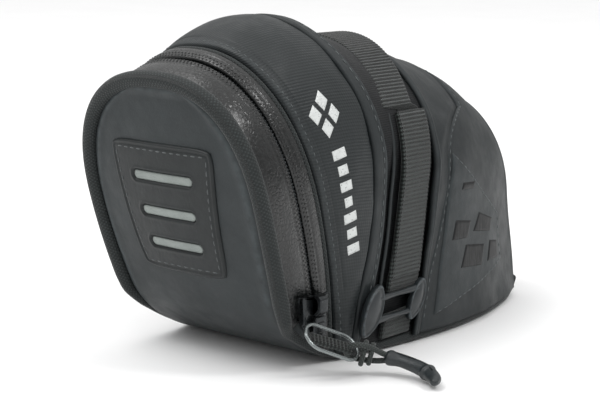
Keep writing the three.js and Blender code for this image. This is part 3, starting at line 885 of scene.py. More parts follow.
def mark_wear_and_highlight(piece, amount):
    """Stores each point's share of rubbed wear and painted edge highlight; the list may cover only
    the outer face.
    """
    values = np.zeros(len(piece.data.vertices), np.float32)
    values[:amount.size] = np.clip(amount, 0, 1).ravel()
    piece.data.attributes.new("wear_and_highlight", "FLOAT", "POINT").data.foreach_set("value", values)


def stitch_row(name, line, up, body="root", **options):
    """A row of thread stitches riding a body."""
    return finish_piece(stitches(name, line, up, finish("thread"), **options), body, "webbing")


# ---------------------------------------------------------------- skin of the base and the lid
def base_edge(y):
    """Half-width of the base at a place along it."""
    y = np.asarray(y, float)
    rear, tip = WELT[FOOT], TIP[FOOT]
    t = np.clip(y / NOSE_Y, 0, 1)
    swell = 4 * (BASE_WIDEST - (rear + tip) / 2)
    return rear + (tip - rear) * t + swell * t * (1 - t) * (0.72 + 0.56 * t)


def fold_curve(count):
    """The base's rear curve from the flat base up to the lid's fold."""
    t = np.linspace(0, 1, count)[:, None]
    ends = np.array([[FLAT_END, 0.0], CURL, [HINGE_Y, HINGE_Z]])
    return (1 - t) ** 2 * ends[0] + 2 * t * (1 - t) * ends[1] + t * t * ends[2]


def face_bulge(z):
    """How far the lid's face stands out along its middle at height z."""
    foot, top = LID_FOOT, RIM[HEIGHT]
    return LID_DOME * np.sin(np.pi * np.clip((z - foot + 6) / (top - foot), 0, 1))


def face_point(x, z, raised=0.0):
    """A point on the lid's face."""
    edge = inset(RIM, BINDING)
    c = np.clip(x / half_width(edge, z), -1, 1)
    return np.stack([x, lean(edge, z) - face_bulge(z) * (1 - c * c) - raised, z], -1)


def skin_rows(edge_inset):
    """Half-width, Y, Z and bulge of the skin from the base's front end over the fold to the top."""
    flat = np.linspace(BASE_FRONT, FLAT_END, FLAT_ROWS)
    curve = fold_curve(26)[1:-2]
    arch = outline(inset(RIM, edge_inset), HINGE_Z + 3, 260)[:130]
    face = inset(RIM, BINDING)
    z = arch[:, 2]
    half = np.concatenate([base_edge(flat) - 2.4, base_edge(curve[:, 0]) - 2.4, arch[:, 0]])
    y = np.concatenate([flat, curve[:, 0], lean(face, z)])
    height = np.concatenate([0 * flat, curve[:, 1], z])
    bulge = np.concatenate([0 * flat, 0 * curve[:, 0], face_bulge(z)])
    return half, y, height, bulge


# Half-width of the skin's last row, at the lid's top, and the rows that are smoothed over the fold.
TOP_HALF = 1.5
FOLD_ROWS = slice(55, 100)


def build_skin():
    """The coated skin of the base, the fold and the lid's face, as one closed sheet."""
    half, y, z, bulge = skin_rows(1.6)
    half[-1] = TOP_HALF
    span = np.sin(np.linspace(-1, 1, 81) * np.pi / 2)
    grid = np.empty((len(half), len(span), 3))
    grid[..., 0] = half[:, None] * span
    grid[..., 1] = y[:, None] - bulge[:, None] * (1 - span ** 2)
    grid[..., 2] = z[:, None]
    grid[FOLD_ROWS] = smooth(grid[FOLD_ROWS.start - 1:FOLD_ROWS.stop + 1], 30)[1:-1]
    to_side = half[:, None] * (1 - abs(span))
    past_top = (lengths(np.stack([y, z], 1))[-1] - lengths(np.stack([y, z], 1)))[:, None]
    edge = np.minimum(to_side, past_top + 2.0)
    on_face = np.clip((z[:, None] - 18) / 10, 0, 1)
    height = rolled(edge - 0.6, 2.2) + ripple(grid, 17, 0.20) * np.clip(edge / 8, 0, 1) * on_face
    height += 0.45 * on_face * np.exp(-((edge - 4.2) / 1.6) ** 2)
    skin, outer = cloth_sheet("base_and_lid_skin", grid, height, finish("coated"), thickness=1.6)
    # Lighter band just inside the face's rolled edge, beside the raised ridge: painted highlight,
    # partly rubbed wear.
    mark_wear_and_highlight(skin, 0.75 * on_face * np.exp(-((edge - 3.6) / 1.2) ** 2))
    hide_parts("base_panel", "rear_panel")
    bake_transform(skin)
    return outer


# Each board: its name, its rows of the skin, its body, how far it sits off the skin, its thickness
# and the CAD node that it stands for.
BOARDS = (
    ("base_board", slice(2, 58), "root", (0, 0, 2.8), (0, 0, 1.3), "base_stiffener"),
    ("lid_board", slice(92, 205), "lid", (0, 2.9, 0), (0, 1.2, 0), "rear_stiffener"),
)
BOARD_GAP = 3.0


def build_boards():
    """Stiffening boards behind the base and the lid's face."""
    half, y, z, bulge = skin_rows(7.0)
    span = np.linspace(-1, 1, 25)
    for name, rows, body, offset, thick, node in BOARDS:
        grid = np.empty((len(half[rows]), len(span), 3))
        grid[..., 0] = (half[rows] - BOARD_GAP)[:, None] * span
        grid[..., 1] = y[rows, None] - bulge[rows, None] * (1 - span ** 2)
        grid[..., 2] = z[rows, None]
        grid += offset
        board = slab(name, grid, grid + thick, finish("board"))
        finish_piece(board, body, "stiffener_board", node)


def piping_loop():
    """The line of the edge piping: along the base, up round the lid's rim and back."""
    flat = np.linspace(BASE_FRONT, FLAT_END, FLAT_ROWS)
    low = np.concatenate([flat, fold_curve(20)[1:-1, 0]])
    rise = np.concatenate([0 * flat, fold_curve(20)[1:-1, 1]])
    side = np.stack([base_edge(low) - PIPING, low + 0.6 * (low < 0), rise + PIPING + 0.5], 1)
    half = TIP[FOOT] - PIPING
    nose = np.array([[half, NOSE_Y + 1.0, 6.6], [half, NOSE_Y - 0.6, 3.4]])
    arch = outline(RIM, HINGE_Z + 6, 401)
    right = np.concatenate([nose, side])
    line = np.concatenate([right, arch, right[::-1] * [-1, 1, 1]])
    return smooth(resample(line, 900), 12)


def build_piping():
    """The edge piping that runs into the rim's binding, and the piping round the nose face."""
    line = piping_loop()
    on_lid = np.clip((line[:, 2] - 12) / 14, 0, 1)
    pipe_radius = PIPING + (BINDING - PIPING) * on_lid
    outward = line - np.array([0, 40, 45])
    piping = pipe("edge_piping", line, pipe_radius, finish("binding"), sides=18, hint=outward)
    mark_wear_and_highlight(piping, np.full(len(piping.data.vertices), 0.25))
    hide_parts("right_base_piping", "left_base_piping", "rim_binding")
    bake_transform(piping)
    arch = outline(inset(TIP, PIPING + 0.35), 7.5, 241)
    nose = pipe("nose_piping", arch, PIPING, finish("binding"), sides=18, hint=arch - [0, 40, 45])
    finish_piece(nose, "root", "piping", "front_piping")


# ---------------------------------------------------------------- reflector patch
PATCH_LOW, PATCH_HIGH = (32.6, 20.0), (79.4, 24.6)
BARS = (("top", 67.3, 13.8), ("middle", 54.8, 12.5), ("bottom", 43.2, 12.1))
BAR_HALF_HEIGHT = 1.55


def stadium(x, z, middle, half, radius):
    """Distance outside a flat bar with round ends, negative inside."""
    return np.hypot(np.clip(abs(x) - (half - radius), 0, None), z - middle) - radius


def face_grid(xs, zs, raised):
    """Points at a height above the lid's face."""
    return face_point(xs, zs) + np.stack([0 * xs, -raised, 0 * xs], -1)


def build_patch():
    """The welded patch with its pressed outline and three slots."""
    v, u = np.meshgrid(np.linspace(-1, 1, 97), np.linspace(-1, 1, 89), indexing="ij")
    squeeze = 0.055
    a, b = u * (1 - squeeze * v ** 8), v * (1 - squeeze * u ** 8)
    middle, reach = (PATCH_HIGH[0] + PATCH_LOW[0]) / 2, (PATCH_HIGH[0] - PATCH_LOW[0]) / 2
    z = middle + reach * b
    half = PATCH_LOW[1] + (PATCH_HIGH[1] - PATCH_LOW[1]) * (b + 1) / 2
    x = a * half
    edge = np.minimum((1 - abs(u)) * half, (1 - abs(v)) * reach)
    raised = 1.0 + 1.2 * rolled(edge, 0.9) / 0.9 * 0.5
    raised += groove(edge, 1.5, 0.4, 0.38) + 0.28 * np.exp(-((edge - 0.9) / 0.5) ** 2)
    for _, height, bar_half in BARS:
        gap = stadium(x, z, height, bar_half + 0.5, BAR_HALF_HEIGHT + 0.5)
        raised -= 0.95 * (1 - np.clip(gap / 0.5 + 0.5, 0, 1))
        raised += 0.25 * np.exp(-((gap - 0.5) / 0.5) ** 2)
    outer = face_grid(x, z, raised)
    inner = face_grid(x, z, np.full_like(x, -0.1))
    patch = slab("reflector_panel", outer, inner, finish("patch"), np.stack([x, z], 2))
    finish_piece(patch, "lid", "patch_film", "reflector_patch")
    build_bars()
    build_patch_stitches()


def build_bars():
    """The three reflective bars in the patch's slots."""
    for name, height, bar_half in BARS:
        v, u = np.meshgrid(np.linspace(-1, 1, 15), np.linspace(-1, 1, 61), indexing="ij")
        z = height + BAR_HALF_HEIGHT * v
        reach = bar_half - BAR_HALF_HEIGHT + BAR_HALF_HEIGHT * np.sqrt(1 - np.minimum(v * v, 0.97))
        x = reach * u
        edge = -stadium(x, z, height, bar_half, BAR_HALF_HEIGHT)
        raised = 0.42 + 0.22 * np.clip(edge / 0.5, 0, 1) + 0.05 * np.cos(x / 2.3)
        outer, inner = face_grid(x, z, raised), face_grid(x, z, np.full_like(x, 0.05))
        bar = slab(f"{name}_bar", outer, inner, finish("reflective"), np.stack([x, z], 2))
        finish_piece(bar, "lid", "reflective_film", f"reflective_bar_{name}")


def build_patch_stitches():
    """Stitches along the patch's four sides."""
    low, high = PATCH_LOW[0] + 2.6, PATCH_HIGH[0] - 2.8
    wide_low, wide_high = PATCH_LOW[1] - 2.6, PATCH_HIGH[1] - 2.9
    corners = [(-wide_low, low), (wide_low, low), (wide_high, high), (-wide_high, high)]
    rows = []
    for k, (start, end) in enumerate(zip(corners, corners[1:] + corners[:1])):
        t = np.linspace(0.02, 0.98, 60)
        x = start[0] + (end[0] - start[0]) * t
        z = start[1] + (end[1] - start[1]) * t
        line = face_point(x, z, 1.02)
        up = np.tile([0.0, -1.0, 0.1], (60, 1))
        rows.append(stitches(f"patch_stitches_{k}", line, up, finish("thread"), width=0.24))
    finish_piece(join("patch_stitches", rows), "lid", "webbing")


# ---------------------------------------------------------------- zip
COLUMNS = 221


def lid_band_foot(t):
    """Height where the lid's zip band ends at the bottom."""
    return LID_FOOT + (ZIP_END - LID_FOOT) * min(t / ZIP_LINE, 1)


def body_band_foot(t):
    """Height where the body's zip band ends at the bottom."""
    return EDGE_HEIGHT + 2.6 * (1 - t) / (1 - ZIP_LINE)


def build_zip_bands():
    """The glossy bands on both sides of the slit, each with a folded edge along it."""
    rear = cut(loft(ZIP_BAND, lid_band_foot, COLUMNS), 0, ZIP_LINE, 33)
    rear = trim_rows(rear, 1.9, 0.55)
    away = row_distance(rear)
    left = away[-1] - away
    height = rolled(away, 1.7) + rolled(left, 0.7) + 0.75 * np.sin(np.pi * away / away[-1])
    height += groove(left, 3.4, 0.5, 0.22) + 0.3 * ripple(rear, 8, 0.3)
    band, rear_skin = cloth_sheet("lid_zip_band", rear, height, finish("tape"), thickness=1.2)
    # Lighter band along the rolled edge beside the rim's binding: painted highlight, partly rubbed
    # wear.
    mark_wear_and_highlight(band, 0.4 * np.exp(-((away - 1.4) / 0.8) ** 2))
    finish_piece(band, "lid", "zip_tape", "lid_zip_tape")
    front = cut(loft(ZIP_BAND, body_band_foot, COLUMNS), ZIP_LINE, 1, 25)
    front = trim_rows(front, 0.55, 0.8)
    away = row_distance(front)
    left = away[-1] - away
    height = rolled(away, 0.7) + rolled(left, 1.5) + 0.5 * np.sin(np.pi * away / away[-1])
    height += groove(away, 3.2, 0.5, 0.22)
    band, front_skin = cloth_sheet("body_zip_band", front, height, finish("tape"), thickness=1.2)
    finish_piece(band, "root", "zip_tape", "body_zip_tape")
    build_coils()
    build_teeth(rear_skin, front_skin)
    line, up = trace(rear_skin, 2.7, slice(60, 162))
    stitch_row("rim_stitches", line, up, "lid", length=1.0, gap=0.9, width=0.2)


def build_coils():
    """Two moulded coils that meet under the slit."""
    section = inset(sweep(ZIP_BAND, ZIP_LINE), 1.5)
    for name, body, shift, node in (("lid_coil", "lid", -0.75, "lid_zip_coil"),
                                    ("body_coil", "root", 0.75, "body_zip_coil")):
        line = outline(shifted(section, shift), ZIP_END + 3, 1800)
        turns = lengths(line) / (in_mm(sizes().coil) * 0.8)
        radius = 0.55 + 0.16 * np.sin(2 * np.pi * turns)
        coil = pipe(name, line, radius, finish("metal"), sides=8, hint=line - [0, 40, 45])
        finish_piece(coil, body, "zip_tape", node)


def build_teeth(rear_skin, front_skin):
    """The coil's teeth pressing through the film beside the slit."""
    pitch = in_mm(sizes().coil)
    for name, body, grid, flip in (("lid_teeth", "lid", rear_skin[::-1], 1),
                                   ("body_teeth", "root", front_skin, 0)):
        rows = []
        for k, offset in enumerate((1.5, 2.7)):
            line, up = trace(grid, offset)
            up = -up if np.sum(up[:, 2]) < 0 else up
            rows.append(stitches(f"{name}_{k}", line + up * 0.04, up, finish("tape"), length=0.95,
                                 gap=pitch - 0.95, width=0.34, slant=1.25 if flip else -1.25))
        finish_piece(join(name, rows), body, "zip_tape")


GUSSET_LEAST = 1.2


def build_gussets():
    """Folded cloth that closes the zip's two lower ends."""
    for side, word in ((1, "right"), (-1, "left")):
        ts = np.linspace(0.14, 0.70, 29)
        grid = np.empty((len(ts), 15, 3))
        for i, t in enumerate(ts):
            section = inset(sweep(ZIP_BAND, t), 0.9)
            top = lid_band_foot(t) - 0.3
            low = min(EDGE_HEIGHT + 3.4 + 7.6 * (1 - t / ZIP_LINE), top - GUSSET_LEAST)
            z = np.linspace(low, top, 15)
            grid[i] = np.stack([side * half_width(section, z), lean(section, z), z], 1)
        height = 0.35 * np.cos(np.linspace(0, 5 * np.pi, 29))[:, None] * np.ones((1, 15))
        gusset, _ = cloth_sheet(f"{word}_gusset", grid, height, finish("coated"))
        finish_piece(gusset, "root", "coated_fabric", f"{word}_zip_end")


# ---------------------------------------------------------------- body bands
def hem_width(grid):
    """Width of the hem for each column, narrower where the band is short."""
    return np.minimum(7.2, 0.36 * row_distance(grid)[-1])


def build_body_band():
    """The ripstop band between the zip and the strap, its welt and its stitched hem."""
    whole = loft(BODY_BAND, EDGE_HEIGHT - 0.6, COLUMNS, rows=81)
    hem = hem_width(whole)
    grid = trim_rows(whole, 1.2, hem)
    away = row_distance(grid)
    left = away[-1] - away
    share = away / away[-1]
    height = rolled(away, 1.6) + rolled(left, 1.3)
    height += 1.1 * np.sin(np.pi * share) ** 0.8
    height += groove(away, 4.6, 0.55, 0.30) * (away[-1] > 14)
    near_edge = np.exp(-away / 9) + np.exp(-left / 9)
    height += ripple(grid, 9, 0.22, 0.6) * (0.45 + near_edge)
    band, skin = cloth_sheet("ripstop_band", grid, height, finish("ripstop"))
    # Lighter bands along both rolled edges: painted highlight, partly rubbed wear.
    mark_wear_and_highlight(band, 0.5 * np.exp(-((away - 1.5) / 0.7) ** 2) + 0.4 * np.exp(-((left - 1) / 0.6) ** 2))
    finish_piece(band, "root", "ripstop_fabric", "body_band")
    line, up = trace(skin, 3.3, slice(4, COLUMNS - 4))
    stitch_row("welt_stitches", line, up, length=1.5, gap=1.1, width=0.2)
    build_welt()
    build_hem(whole, hem)
    return skin


def build_welt():
    """The welt between the zip and the ripstop band."""
    arch = outline(inset(WELT, 1.3), EDGE_HEIGHT + 1, 301)
    welt = pipe("zip_welt", arch, 1.25, finish("binding"), sides=14, hint=arch - [0, 40, 45],
                flatten=0.9)
    mark_wear_and_highlight(welt, np.full(len(welt.data.vertices), 0.35))
    finish_piece(welt, "root", "piping", "body_welt")


def build_hem(whole, hem):
    """A folded strip along the band's front edge, raised and stitched down."""
    total = row_distance(whole)[-1]
    grid = trim_rows(whole, total - hem + 0.1, 0.0)
    grid = cut(grid, 0, 1, 31)
    away = row_distance(grid)
    left = away[-1] - away
    height = 0.75 + rolled(away, 1.1) + rolled(left, 1.7)
    height += groove(away / away[-1], 0.62, 0.10, 0.32) + ripple(grid, 7, 0.12, 2.0)
    strip, skin = cloth_sheet("stitched_hem", grid, height, finish("hem"), thickness=2.6)
    # Lighter band along the hem's rolled front edge: painted highlight, partly rubbed wear.
    mark_wear_and_highlight(strip, 0.55 * np.exp(-((left - 1.2) / 0.6) ** 2))
    finish_piece(strip, "root", "coated_fabric", "hem_binding")
    line, up = trace(skin, 0.62 * row_distance(skin)[-1], slice(4, COLUMNS - 4))
    stitch_row("hem_stitches", line, up, length=2.3, gap=1.5, width=0.26)


def build_recess():
    """The sunken channel in front of the hem, painted dark for its shade, with two folded edges in
    it.
    """
    band = (*RECESS_BAND[:2], shifted(FRONT, 3.0))
    grid = loft(band, EDGE_HEIGHT - 0.6, COLUMNS, rows=21, by=1.8)
    # The channel takes the near-black lining colour: painted shade in the sunken recess.
    recess, _ = cloth_sheet("strap_channel", grid, ripple(grid, 6, 0.15), finish("lining"), 1.2)
    finish_piece(recess, "root", "lining", "recess_panel")
    for side, word in ((1, "right"), (-1, "left")):
        edges = []
        for k, (back, rise) in enumerate(((5.6, -2.0), (2.9, -0.9))):
            z = np.linspace(22, 88, 90)
            x = side * (half_width(STRAP, z) + rise)
            y = tail_rear(z) - back + 0.3 * np.sin(z / 6 + k)
            line = np.stack([x, y, z], 1)
            edges.append(pipe(f"{word}_fold_{k}", line, 0.75, finish("hem"), 12, (side, 0, 0), 0.8))
            sheet = np.stack([line + [0, d, -0.0] - np.array([side, 0, 0]) * 0.35 * d
                              for d in (0.0, 1.2, 2.6)], 1)
            edges.append(cloth_sheet(f"{word}_flap_{k}", sheet, np.zeros((90, 3)),
                                     finish("hem"), 0.7)[0])
        finish_piece(join(f"{word}_channel_folds", edges), "root", "lining")


# ---------------------------------------------------------------- webbing straps
TAIL_HALF = 8.0
NARROW_HALF = 6.4
ANCHOR_HALF, ANCHOR_TOP = 8.2, 13.6
ANCHOR_TURNS = (12.2, 13.8)
TAIL_TOP, TAIL_FOOT = 85.0, 26.5


def tail_middle(z):
    """Y of a tail's middle line."""
    return lean(STRAP, z) + 2.2


def tail_rear(z):
    """Y of a tail's rear edge."""
    return tail_middle(z) - TAIL_HALF


def webbing(name, line, wide, half, thickness, lift=0.0, looped=0.0):
    """Ribbed webbing along a line; wide points across it and half is its half-width there."""
    rib = in_mm(sizes().rib)
    count = int(lengths(line)[-1] / rib * 6)
    half = np.broadcast_to(np.asarray(half, float), len(line))[:, None]
    wide = np.broadcast_to(np.asarray(wide, float), line.shape)
    dense = resample(np.concatenate([line, wide, half], 1), count)
    spine, across, half = dense[:, :3], dense[:, 3:6], dense[:, 6]
    across = across / np.linalg.norm(across, axis=1, keepdims=True)
    span = np.concatenate([[-1, -0.985], np.linspace(-0.95, 0.95, 27), [0.985, 1]])
    grid = spine[:, None] + across[:, None] * (half[:, None] * span)[..., None]
    along = lengths(spine)
    ribs = abs(np.sin(np.pi * along / rib))
    from_edge = half[:, None] * (1 - abs(span))
    ends = np.minimum(along, along[-1] - along)[:, None]
    height = lift + 0.42 * ribs[:, None] * np.clip(from_edge / 0.8, 0, 1)
    height = height + rolled(from_edge, 0.55) + rolled(ends, 0.5)
    loops = np.exp(-((from_edge - 0.7) / 0.5) ** 2)
    height += looped * loops * (0.4 + 0.6 * np.sin(2 * np.pi * along / rib)[:, None])
    height += 0.16 * np.sin(along / 7)[:, None] * span
    flat = np.stack([half[:, None] * span, np.broadcast_to(along[:, None], grid.shape[:2])], 2)
    normal = normals(grid)
    outer = grid + normal * height[..., None]
    inner = grid + normal * (lift - thickness)
    return slab(name, outer, inner, finish("webbing"), flat), outer


def build_saddle_strap():
    """The strap over the bag; below its tails it runs narrower down to the buckles."""
    arch = outline(STRAP, 24, 601)
    z = arch[:, 2]
    under = np.clip((87 - z) / 1.6, 0, 1)
    upper_middle = lean(STRAP, z) - 3.4 * np.clip((112 - z) / 22, 0, 1)
    arch[:, 1] = upper_middle * (1 - under) + (tail_middle(z) + 0.8) * under
    arch[:, 0] -= np.sign(arch[:, 0]) * 0.9 * under
    half = in_mm(sizes().webbing) / 2 * (1 - under) + NARROW_HALF * under
    strap, _ = webbing("saddle_webbing", arch, (0, 1, 0), half, 1.3, looped=0.1)
    finish_piece(strap, "root", "webbing", "saddle_strap")


def side_line(side, low, high, raised, count):
    """An upright line on the bag's side, under a tail's middle."""
    z = np.linspace(low, high, count)
    return np.stack([side * (half_width(STRAP, z) + raised), tail_middle(z), z], 1)


def build_tails():
    """The free tails outside the strap and the anchor webbing below the buckles."""
    for side, word in ((1, "right"), (-1, "left")):
        line = side_line(side, TAIL_FOOT, TAIL_TOP, 1.3, 160)
        half = TAIL_HALF + 0.5 * np.clip((40 - line[:, 2]) / 15, 0, 1)
        tail, _ = webbing(f"{word}_tail", line, (0, 1, 0), half, 1.3, looped=0.28)
        finish_piece(tail, f"{word}_tail", "webbing", f"{word}_strap_tail")
        line = side_line(side, TAIL_FOOT + 1, 19.6, 1.0, 40)
        loop, _ = webbing(f"{word}_buckle_loop", line, (0, 1, 0), 8.6, 1.2)
        finish_piece(loop, f"{word}_buckle", "webbing")
        line = side_line(side, EDGE_HEIGHT + 0.4, ANCHOR_TOP, 0.4, 40)
        anchor, _ = webbing(f"{word}_anchor", line, (0, 1, 0), ANCHOR_HALF, 1.3)
        parts = [anchor]
        across = np.linspace(-1, 1, 30)
        for k, z in enumerate(ANCHOR_TURNS):
            roll = side_line(side, z, z, 0.9, 30)
            roll[:, 1] += (ANCHOR_HALF + 0.1) * across
            roll[:, 2] += 0.6 * across
            parts.append(pipe(f"{word}_turn_{k}", roll, 0.75, finish("webbing"), 12, (side, 0, 0)))
        finish_piece(join(f"{word}_anchor_strap", parts), "root", "webbing",
                     f"{word}_anchor_webbing")


# Each cheek of a buckle: its middle's Y, its length and its width.
CHEEKS = {"rear": (16.8, 20.0, 9.0), "front": (42.0, 16.2, 7.0)}
CHEEK_TURN, CHEEK_X, CHEEK_Z = 0.52, 44.2, 17.2
BAR_HEIGHTS, BAR_ENDS, BAR_X = (13.4, 21.0), (19.5, 42.5), 44.4


def build_buckles():
    """Moulded slot buckles: a leaf-shaped cheek at each end of two bars."""
    for side, word in ((1, "right"), (-1, "left")):
        parts = [leaf(f"{word}_{end}_cheek", side, *cheek) for end, cheek in CHEEKS.items()]
        for k, z in enumerate(BAR_HEIGHTS):
            y = np.linspace(*BAR_ENDS, 40)
            bar = np.stack([np.full(40, side * BAR_X), y, np.full(40, z)], 1)
            radius = 1.1 + 0.25 * np.cos(np.linspace(0, 2 * np.pi, 40))
            parts.append(pipe(f"{word}_bar_{k}", bar, radius, finish("plastic"), 14, (side, 0, 0)))
        finish_piece(join(f"{word}_buckle_body", parts), f"{word}_buckle", "buckle_plastic",
                     f"{word}_strap_buckle")


def leaf(name, side, y, length, width):
    """A domed leaf-shaped cheek with a raised rim, tipped along the bag's side."""
    rings, spokes = 22, 64
    angle = np.linspace(0, 2 * np.pi, spokes, endpoint=False)
    pointed = (1 - 0.30 * abs(np.cos(angle)) ** 3)
    rim_u = np.sin(angle) * width / 2 * pointed
    rim_v = np.cos(angle) * length / 2
    points = []
    for share, height in leaf_profile(rings):
        u, v = rim_u * share, rim_v * share
        along = y + u * math.cos(CHEEK_TURN) + v * math.sin(CHEEK_TURN)
        up = CHEEK_Z - u * math.sin(CHEEK_TURN) + v * math.cos(CHEEK_TURN)
        curve = 0.012 * (v / 1.4) ** 2
        points.append(np.stack([side * (CHEEK_X + height - curve), along, up], 1))
    faces = [face[::-side] for face in tube_faces(rings, spokes)]
    cheek = new_object(name, np.concatenate(points), faces, finish("plastic"))
    wear_and_highlight = np.repeat([1.0 if 0.9 < s < 0.99 and h > 1 else 0.0 for s, h in leaf_profile(rings)],
                     spokes)
    mark_wear_and_highlight(cheek, wear_and_highlight)
    return cheek


def leaf_profile(rings):
    """Share of the outline and height for each ring, from the back's middle to the front's."""
    profile = [(0.1, -0.9), (0.7, -0.95), (0.93, -0.8), (1.0, -0.2), (1.0, 0.9), (0.975, 1.5),
               (0.93, 1.75), (0.88, 1.6), (0.84, 1.3)]
    inner = rings - len(profile)
    for k in range(inner):
        share = 0.80 * (1 - (k + 1) / (inner + 0.6))
        profile.append((share, 1.25 + 0.75 * (1 - (share / 0.85) ** 2)))
    return profile


# ---------------------------------------------------------------- nose
def seam_place(z, top):
    """Where the curved seam lies along the nose band, for a height up to the band's top."""
    low = np.clip((z - 0.23 * top) / (0.3 * top), 0, 1)
    high = np.clip((z - 0.62 * top) / (0.23 * top), 0, 1)
    return 0.035 + 0.09 * low + 0.36 * high ** 2


def build_nose():
    """The middle panel behind the strap and the nose panel that laps over it at a curved seam."""
    whole = loft(NOSE_BAND, EDGE_HEIGHT - 0.6, COLUMNS, rows=81)
    seam = seam_place(whole[20, :, 2], whole[20, :, 2].max())
    rear = trim_rows(cut(whole, 0, seam, 49), 0.2, -0.0)
    away = row_distance(rear)
    left = away[-1] - away
    free = np.clip((34 - rear[..., 2]) / 12, 0, 1)
    height = rolled(away, 1.0) + ripple(rear, 13, 0.35, 1.3) + (0.9 + 0.8 * free) * np.exp(-away / 5)
    height += 0.5 * np.exp(-((left - 5.5) / 2.5) ** 2) + 0.25 * np.exp(-((away - 1.8) / 0.6) ** 2)
    panel, _ = cloth_sheet("middle_panel", rear, height, finish("smooth"))
    # Lighter band along the raised rear edge by the channel: painted highlight on the edge, partly
    # rubbed wear.
    mark_wear_and_highlight(panel, 0.5 * np.exp(-((away - 0.9) / 0.5) ** 2))
    finish_piece(panel, "root", "coated_fabric", "middle_shell")
    front = trim_rows(cut(whole, seam, 1, 81), -0.0, 1.5)
    away = row_distance(front)
    left = away[-1] - away
    height = 0.75 + rolled(away, 0.9) + rolled(left, 1.6) + ripple(front, 15, 0.35, 2.4)
    height += groove(away, 1.7, 0.5, 0.25) + 0.3 * np.exp(-((left - 3.2) / 1.3) ** 2)
    panel, nose_skin = cloth_sheet("nose_panel", front, height, finish("smooth"), thickness=1.9)
    # Lighter band along the lapped edge at the seam: painted highlight on the edge's thickness,
    # partly rubbed wear.
    mark_wear_and_highlight(panel, 0.6 * np.exp(-((away - 0.7) / 0.5) ** 2))
    finish_piece(panel, "root", "coated_fabric", "nose_shell")
    line, up = trace(nose_skin, 1.7, slice(4, COLUMNS - 4))
    stitch_row("seam_stitches", line, up, length=1.9, gap=1.3, width=0.26)
    return nose_skin


APPLIQUE = [(52.5, 9.0), (108.0, 19.5), (106.0, 38.0), (66.5, 67.5)]
GLOSS_SHAPES = (
    [(71.0, 53.0), (81.0, 52.0), (82.0, 54.5), (72.0, 55.5)],
    [(64.0, 35.0), (76.0, 34.0), (79.0, 40.0), (67.0, 42.0)],
    [(81.0, 35.5), (96.0, 33.0), (99.0, 37.5), (86.0, 42.0)],
    [(70.0, 23.5), (87.0, 21.5), (90.0, 29.0), (74.5, 31.5)],
    [(92.0, 22.0), (103.5, 21.5), (103.0, 28.0), (95.0, 29.5)],
)


def raised_plate(name, surface, corners, lift, rise, step, kind, bevel=0.5):
    """A flat shape laid on a surface, with bevelled edges."""
    grid, normal = surface.quad(corners, step)
    to_row = np.minimum(row_distance(grid), row_distance(grid)[-1] - row_distance(grid))
    across = column_distance(grid)
    to_column = np.minimum(across, across[:, -1:] - across)
    edge = np.minimum(to_row, to_column)
    top = lift + rise * np.clip(edge / bevel, 0, 1) ** 0.5
    outer = grid + normal * top[..., None]
    inner = grid + normal * (lift - 0.35)
    return slab(name, outer, inner, finish(kind)), outer, edge


def build_appliques(nose_skin):
    """The polygon sewn on each side of the nose, with glossy printed shapes."""
    for side, word in ((1, "right"), (-1, "left")):
        surface = Surface(nose_skin, (-side, 0, 0))
        plate, outer, edge = raised_plate(f"{word}_applique_panel", surface, APPLIQUE, 0.1, 0.6, 0.8,
                                          "coated")
        # Lighter band along the bevelled edge: painted highlight, partly rubbed wear.
        mark_wear_and_highlight(plate, 0.45 * np.exp(-((edge - 0.5) / 0.4) ** 2))
        finish_piece(plate, "root", "patch_film", f"{word}_applique")
        top = Surface(outer, (-side, 0, 0))
        shapes = []
        for k, corners in enumerate(GLOSS_SHAPES):
            shapes.append(raised_plate(f"{word}_shape_{k}", top, corners, 0.05, 0.22, 0.7, "gloss",
                                       0.3)[0])
        finish_piece(join(f"{word}_gloss_shapes", shapes), "root", "patch_film")
        rows = []
        for k, (a, b) in enumerate(((0, 1), (1, 2), (2, 3))):
            middle = np.mean(APPLIQUE, axis=0)
            ends = [np.array(APPLIQUE[i]) + (middle - APPLIQUE[i]) * 0.035 for i in (a, b)]
            line, up = top.line(ends, 0.9, 0.02)
            rows.append(stitches(f"{word}_row_{k}", line, up, finish("thread"), 2.0, 1.3, 0.26))
        finish_piece(join(f"{word}_applique_stitches", rows), "root", "webbing")


def build_nose_face():
    """The panel against the seatpost."""
    arch = outline(inset(TIP, 2.4), EDGE_HEIGHT - 0.5, 161)[:80]
    span = np.sin(np.linspace(-1, 1, 61) * np.pi / 2)
    grid = np.empty((80, 61, 3))
    grid[..., 0] = arch[:, 0, None] * span
    grid[..., 1] = arch[:, 1, None] + 1.5 * (1 - span ** 2) - 0.6
    grid[..., 2] = arch[:, 2, None]
    edge = np.minimum(arch[:, 0, None] * (1 - abs(span)), arch[-1, 2] - arch[:, 2, None] + 1)
    height = rolled(edge, 1.8) + ripple(grid, 14, 0.25)
    face, _ = cloth_sheet("nose_face", grid, height, finish("coated"), thickness=1.6)
    # Lighter band inside the rolled edge: painted highlight, partly rubbed wear.
    mark_wear_and_highlight(face, 0.5 * np.exp(-((edge - 2.2) / 1.0) ** 2))
    finish_piece(face, "root", "coated_fabric", "front_panel")


POST_STRAP_Z = 44.0
# Each strap: its name, its body, half its length, its middle's X, its height above the nose, half
# its width and the CAD node that it stands for.
POST_STRAPS = (
    ("post_strap", "root", 14, 0, 4.4, 10.0, "seatpost_strap"),
    ("post_strap_tail", "seatpost_tail", 10.5, -0.5, 6.2, 9.0, "seatpost_strap_tail"),
)
# Corners of the sewn box and its diagonal, as X towards the left and Z.
POST_SEAM = ((-13, 35.5), (-5, 35.5), (-5, 52.5), (-13, 52.5), (-13, 35.5), (-5, 52.5))


